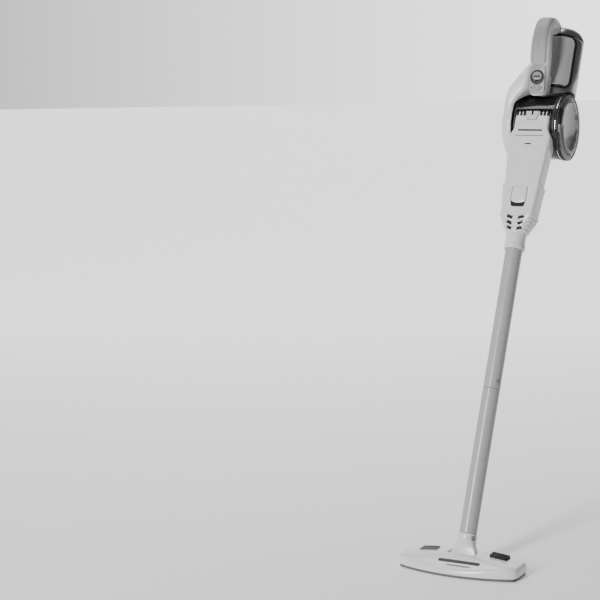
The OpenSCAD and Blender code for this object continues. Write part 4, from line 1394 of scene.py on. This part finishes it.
def grip_at(along, path):
    """A point and a heading at a distance along the handle."""
    points, headings = path
    for i in range(len(points) - 1):
        step = (points[i + 1] - points[i]).length
        if along <= step:
            t = along / step
            return points[i].lerp(points[i + 1], t), headings[i].lerp(headings[i + 1], t).normalized()
        along -= step
    return points[-1], headings[-1]


def grip_half(along):
    """Half the handle's width, which swells a little in its middle."""
    t = held((along - 20) / 130, 0.0, 1.0)
    return GRIP_HALF + 3 * math.sin(math.pi * t) ** 2


def grip_ring(along, path, half_w, half_t, r):
    """One cross-section of the handle, in the stick's frame."""
    point, heading = grip_at(along, path)
    out = Vector((-heading.y, heading.x))
    ring = []
    for x, h in rounded(half_w, half_t, r):
        p = point + out * h
        ring.append((x, p.x, p.y))
    return ring


def grip_form():
    """The whole handle, with a rounded low end."""
    path = grip_path()
    rings = []
    low_end = ((0.0, 9, 12.2, 6), (0.7, 12.6, 13.6, 8), (2.2, 15.2, 14.4, 9.5), (4.6, 17.2, 14.9, 10.5))
    for along, half_w, half_t, r in low_end + ((8.0, 18.5, 15, 11), (12, 19, 15, 11)):
        rings.append(grip_ring(along, path, half_w, half_t, r))
    total = sum((b - a).length for a, b in zip(path[0], path[0][1:]))
    steps = 56
    for i in range(1, steps + 1):
        along = mixed(12, total, i / steps)
        rings.append(grip_ring(along, path, grip_half(along), GRIP_THICK, GRIP_R))
    return loft(rings)


def root_form():
    """Fills the corner between the handle's low end and the housing."""
    inner = Vector((GRIP_DIR.y, -GRIP_DIR.x)) * (GRIP_THICK - 4)
    low = GRIP_LOW + inner + GRIP_DIR * 3
    high = GRIP_LOW + inner + GRIP_DIR * 52
    corners = [tuple(low), (34, BOWL_S + 58), (34, BOWL_S + 97), (12, BOWL_S + 95), tuple(high)]
    return prism(filleted(corners, 2.5, 4), -18.2, 18.2, 4, across_x)


def make_handle():
    housing = loft([at_height(stadium(-0.12, 24), 960)] + dome_rings(0.12))
    swing = x_cylinder(74.3, -90, 90)
    key = box_shape((-8.5, 8.5), (-1, 8.5), (-5.5, 5.5))
    tools = [(housing, STICK), (swing, BOWL)]
    tools += [(stem_slot(-1, 8.5), panel_space(SLIDER_AT)), (key, panel_space(BUTTON_AT))]
    for name, x in (("left", (-40, -0.03)), ("right", (0.03, 40))):
        thing = add_object(f"grip_{name}", to_mesh(f"grip_{name}", grip_form(), STICK))
        cut_all(thing, [(root_form(), STICK)], "UNION")
        cut_all(thing, tools)
        cut_all(thing, [(box_shape(x, (-120, 140), (900, 1250)), STICK)], "INTERSECT")
        smooth_faces(thing.data, 42)
        add_bevel(thing, 0.5, 42)
        dress(thing, "handset", WHITE, f"handle_{name}")
    grip_band()
    control_panel()


def panel_space(along):
    """A frame on the handle's flat outer face: z up the handle, -y outward."""
    start = GRIP_LOW + GRIP_THICK * Vector((-GRIP_DIR.y, GRIP_DIR.x)) + along * GRIP_DIR
    tilt = math.atan2(-GRIP_DIR.x, GRIP_DIR.y)
    return STICK @ shift(0, start.x, start.y) @ Matrix.Rotation(tilt, 4, "X")


def over_grip(u, along, grow, path):
    """A point over the handle's outer face, u across and along it."""
    point, heading = grip_at(along, path)
    out = Vector((-heading.y, heading.x))
    flat = grip_half(along) - GRIP_R
    if abs(u) <= flat:
        x, h = u, GRIP_THICK + grow
    else:
        a = (abs(u) - flat) / GRIP_R
        side = 1 if u > 0 else -1
        x = side * (flat + (GRIP_R + grow) * math.sin(a))
        h = GRIP_THICK - GRIP_R + (GRIP_R + grow) * math.cos(a)
    p = point + out * h
    return (x, p.x, p.y)


def laid_plate(outline, grow, low_grow, path, rim=0.4):
    """A thin plate laid over the handle's outer face."""
    rings = []
    edge = ((low_grow, 0), (grow - rim, 0), (grow - rim * 0.3, rim * 0.3), (grow, rim), (grow, rim * 2.4))
    for g, d in edge:
        rings.append([over_grip(u, v, g, path) for u, v in inset(outline, d)])
    base = inset(outline, rim * 2.4)
    low, high = min(v for _, v in base), max(v for _, v in base)
    half = max(u for u, _ in base)
    for t in (0.2, 0.4, 0.6, 0.8, 0.93, 0.985):
        ring = []
        for u, v in base:
            target = held(v, low + half, high - half)
            ring.append(over_grip(mixed(u, 0, t), mixed(v, target, t), grow, path))
        rings.append(ring)
    return loft(rings)


def grip_band():
    """Satin band laid along the handle's outer face."""
    outline = dense(rounded(16.4, 70, 9, 0.6, 135), 2.5)
    plate = laid_plate(outline, 0.9, -1.0, grip_path())
    piece("grip_band", plate, "handset", BAND_GREY, "grip_inlay")


def stem_slot(low, high):
    """Room for the slider's stem to travel, between two depths."""
    return box_shape((-4.7, 4.7), (low, high), (-11.2, 5.6))


def facing(shape, height=0):
    """Turns a form about z to face the front of the panel."""
    return turned(shape, shift(0, 0, height - 2) @ spin(90, "X"))


def control_panel():
    """Panel on the handle's low end, with the slider's round recess."""
    space, at_slider, at_button = (panel_space(along) for along in (0, SLIDER_AT, BUTTON_AT))
    outline = filleted([(-16.4, 2.6), (16.4, 2.6), (16.4, 66), (-16.4, 66)], 9.5, 10)
    plate = prism(outline, -1.1, 2.0, 0.4, across_y)
    dish = facing(rod(14.2, -4, 8, 64), SLIDER_AT)
    button_room = thin_plate(rounded(8.35, 5.35, 5.0), -6, 6, 0.1)
    cuts = [(dish, space), (button_room, at_button), (moved(stem_slot(-5, 9), 0, 0, SLIDER_AT), space)]
    piece("grip_panel", plate, "handset", BAND_GREY, "control_panel", space, cuts,
          bevel=0.25)
    rim = facing(ring_of(15.4, 13.2, 0.4, 1.7, 0.25, 64, "z"))
    piece("slider_rim", rim, "handset", BLACK, space=at_slider)
    floor = facing(rod(14.1, -0.5, 0.35, 64))
    piece("slider_floor", floor, "handset", BLACK, space=at_slider, cuts=[(stem_slot(-5, 9), at_slider)])
    slider_cap(at_slider)
    button_cap(at_button)
    panel_marks(space)
    button_marks(at_button)


def slider_cap(space):
    """Sliding switch: a low round cap with a dark slot and a thumb ridge."""
    cap = prism(rounded(10.4, 8.6, 8.4, 0, 0.6, 10), -3.4, -0.8, 0.9, across_y)
    stem = box_shape((-4.0, 4.0), (-1.2, 4), (-4.3, 4.8))
    ridge = prism(rounded(8.4, 1.2, 1.1, 0, 4.4, 4), -5.0, -2.6, 0.7, across_y)
    groove = thin_plate(rounded(8.0, 2.0, 1.8, 0, -0.6, 5), -6, -2.5)
    cuts, adds = [(groove, space)], [(stem, space), (ridge, space)]
    piece("slider_body", cap, "slider", SATIN_GREY, "power_slider", space, cuts, adds, bevel=0.25)
    slot = thin_plate(rounded(7.8, 1.85, 1.7, 0, -0.6, 5), -2.75, -2.3)
    piece("slider_slot", slot, "slider", BLACK, space=space)


def button_cap(space):
    """Oval button under the slider."""
    cap = prism(rounded(8.0, 5.0, 4.9), -2.9, 2.6, 0.8, across_y)
    dish = (thin_plate(rounded(5.6, 2.6, 2.5, 0, 0, 6), -5, -2.6), space)
    piece("button_body", cap, "pivot_release", BAND_GREY, "pivot_button", space, [dish],
          bevel=0.3)


def button_marks(space):
    """Two plain dashes on the oval button."""
    dashes = [thin_plate(rounded(1.5, 0.7, 0.6, 3.1 * i, 0.2, 4), -2.75, -2.45) for i in (-1, 1)]
    piece("button_dashes", joined(*dashes), "pivot_release", DARK_GREY, space=space)


def panel_marks(space):
    """Small plain dots in place of the panel's printing."""
    dots = []
    places = [(x, 59, 0.8) for x in (-4.4, 0, 4.4)] + [(x, BUTTON_AT, 1.5) for x in (-11.6, 11.6)]
    for x, z, r in places:
        dots.append(thin_plate(rounded(r, r, r, x, z, 4), -1.22, -0.9))
    piece("panel_dots", joined(*dots), "handset", BLACK, space=space)


# ---------------------------------------------------------------- inside

def make_inside():
    keep_node("switch_block", BLACK, 0.3)
    keep_node("circuit_board", BOARD, 0)
    keep_node("motor_can", STEEL, 0.5)
    keep_node("motor_mount", BLACK, 0.3)
    keep_node("fan_impeller", WHITE_SATIN, 0.15)
    keep_node("motor_shaft", STEEL, 0)
    keep_node("battery_cells", CELL, 0.4)
    keep_node("battery_tray", BLACK, 0.3)


make_head()
make_underside()
make_neck()
make_tubes()
make_adapter()
make_nozzle()
make_bowl()
make_arm()
make_housing()
make_handle()
make_inside()


# ---------------------------------------------------------------- stage

FLOOR_HALF = 30.0
BRIGHT = 2.8
# Each dimmer side of the surround: where it lies, where the fall begins and ends, and how dark it gets
DIM_SIDES = (((0.90, -0.42, 0.10), -0.72, 0.05, 0.05), ((-0.97, -0.20, 0.0), -0.1, 0.7, 0.1))
BEHIND = (-0.47, 0.88, 0.0)
GLOW_NEAR = -0.6
GLOW_FAR = 3.0
GLOW = 1.45


def make_floor():
    """A pale floor that brightens far away, where it meets the surround."""
    n = Nodes("studio_floor")
    n.link(n.mix(n.noise(2.0, 2.0), (0.80, 0.80, 0.80), (0.82, 0.82, 0.82)), "Base Color")
    away = n.add("ShaderNodeVectorMath", {0: n.position, 1: BEHIND}, operation="DOT_PRODUCT").outputs["Value"]
    n.link(n.remap(away, GLOW_NEAR, GLOW_FAR, 0, GLOW), "Emission Strength")
    n.set(Roughness=0.7, Emission_Color=(1, 1, 1, 1))
    mesh = bpy.data.meshes.new("floor")
    corners = [(x * FLOOR_HALF, y * FLOOR_HALF, 0) for x, y in ((-1, -1), (1, -1), (1, 1), (-1, 1))]
    mesh.from_pydata(corners, [], [(0, 1, 2, 3)])
    mesh.materials.append(n.material)
    add_object("floor", mesh)


def area_light(name, at, aim, size, power):
    data = bpy.data.lights.new(name, "AREA")
    data.shape = "RECTANGLE"
    data.size, data.size_y = size
    data.energy = power
    lamp = bpy.data.objects.new(name, data)
    bpy.context.scene.collection.objects.link(lamp)
    lamp.location = at
    lamp.rotation_mode = "QUATERNION"
    lamp.rotation_quaternion = (Vector(aim) - Vector(at)).to_track_quat("-Z", "Y")


def make_world():
    """Soft studio surround that darkens towards its sides."""
    world = bpy.data.worlds.new("studio")
    world.use_nodes = True
    tree = world.node_tree
    background = tree.nodes["Background"]
    background.inputs["Color"].default_value = (1, 1, 1, 1)
    coord = tree.nodes.new("ShaderNodeTexCoord")
    strength = BRIGHT
    for side, low, high, darkest in DIM_SIDES:
        towards = tree.nodes.new("ShaderNodeVectorMath")
        towards.operation = "DOT_PRODUCT"
        tree.links.new(coord.outputs["Generated"], towards.inputs[0])
        towards.inputs[1].default_value = side
        ramp = tree.nodes.new("ShaderNodeMapRange")
        ramp.interpolation_type = "SMOOTHSTEP"
        tree.links.new(towards.outputs["Value"], ramp.inputs["Value"])
        for socket, value in (("From Min", low), ("From Max", high), ("To Min", 1.0), ("To Max", darkest)):
            ramp.inputs[socket].default_value = value
        product = tree.nodes.new("ShaderNodeMath")
        product.operation = "MULTIPLY"
        tree.links.new(ramp.outputs["Result"], product.inputs[0])
        if isinstance(strength, float):
            product.inputs[1].default_value = strength
        else:
            tree.links.new(strength, product.inputs[1])
        strength = product.outputs["Value"]
    tree.links.new(strength, background.inputs["Strength"])
    bpy.context.scene.world = world


def make_lights():
    make_world()
    middle = (0, 0.25, 0.6)
    area_light("key", (-0.7, -2.8, 1.6), middle, (0.6, 1.8), 120)
    area_light("top", (-0.6, 0.5, 2.7), middle, (1.2, 1.2), 22)


make_floor()
make_lights()
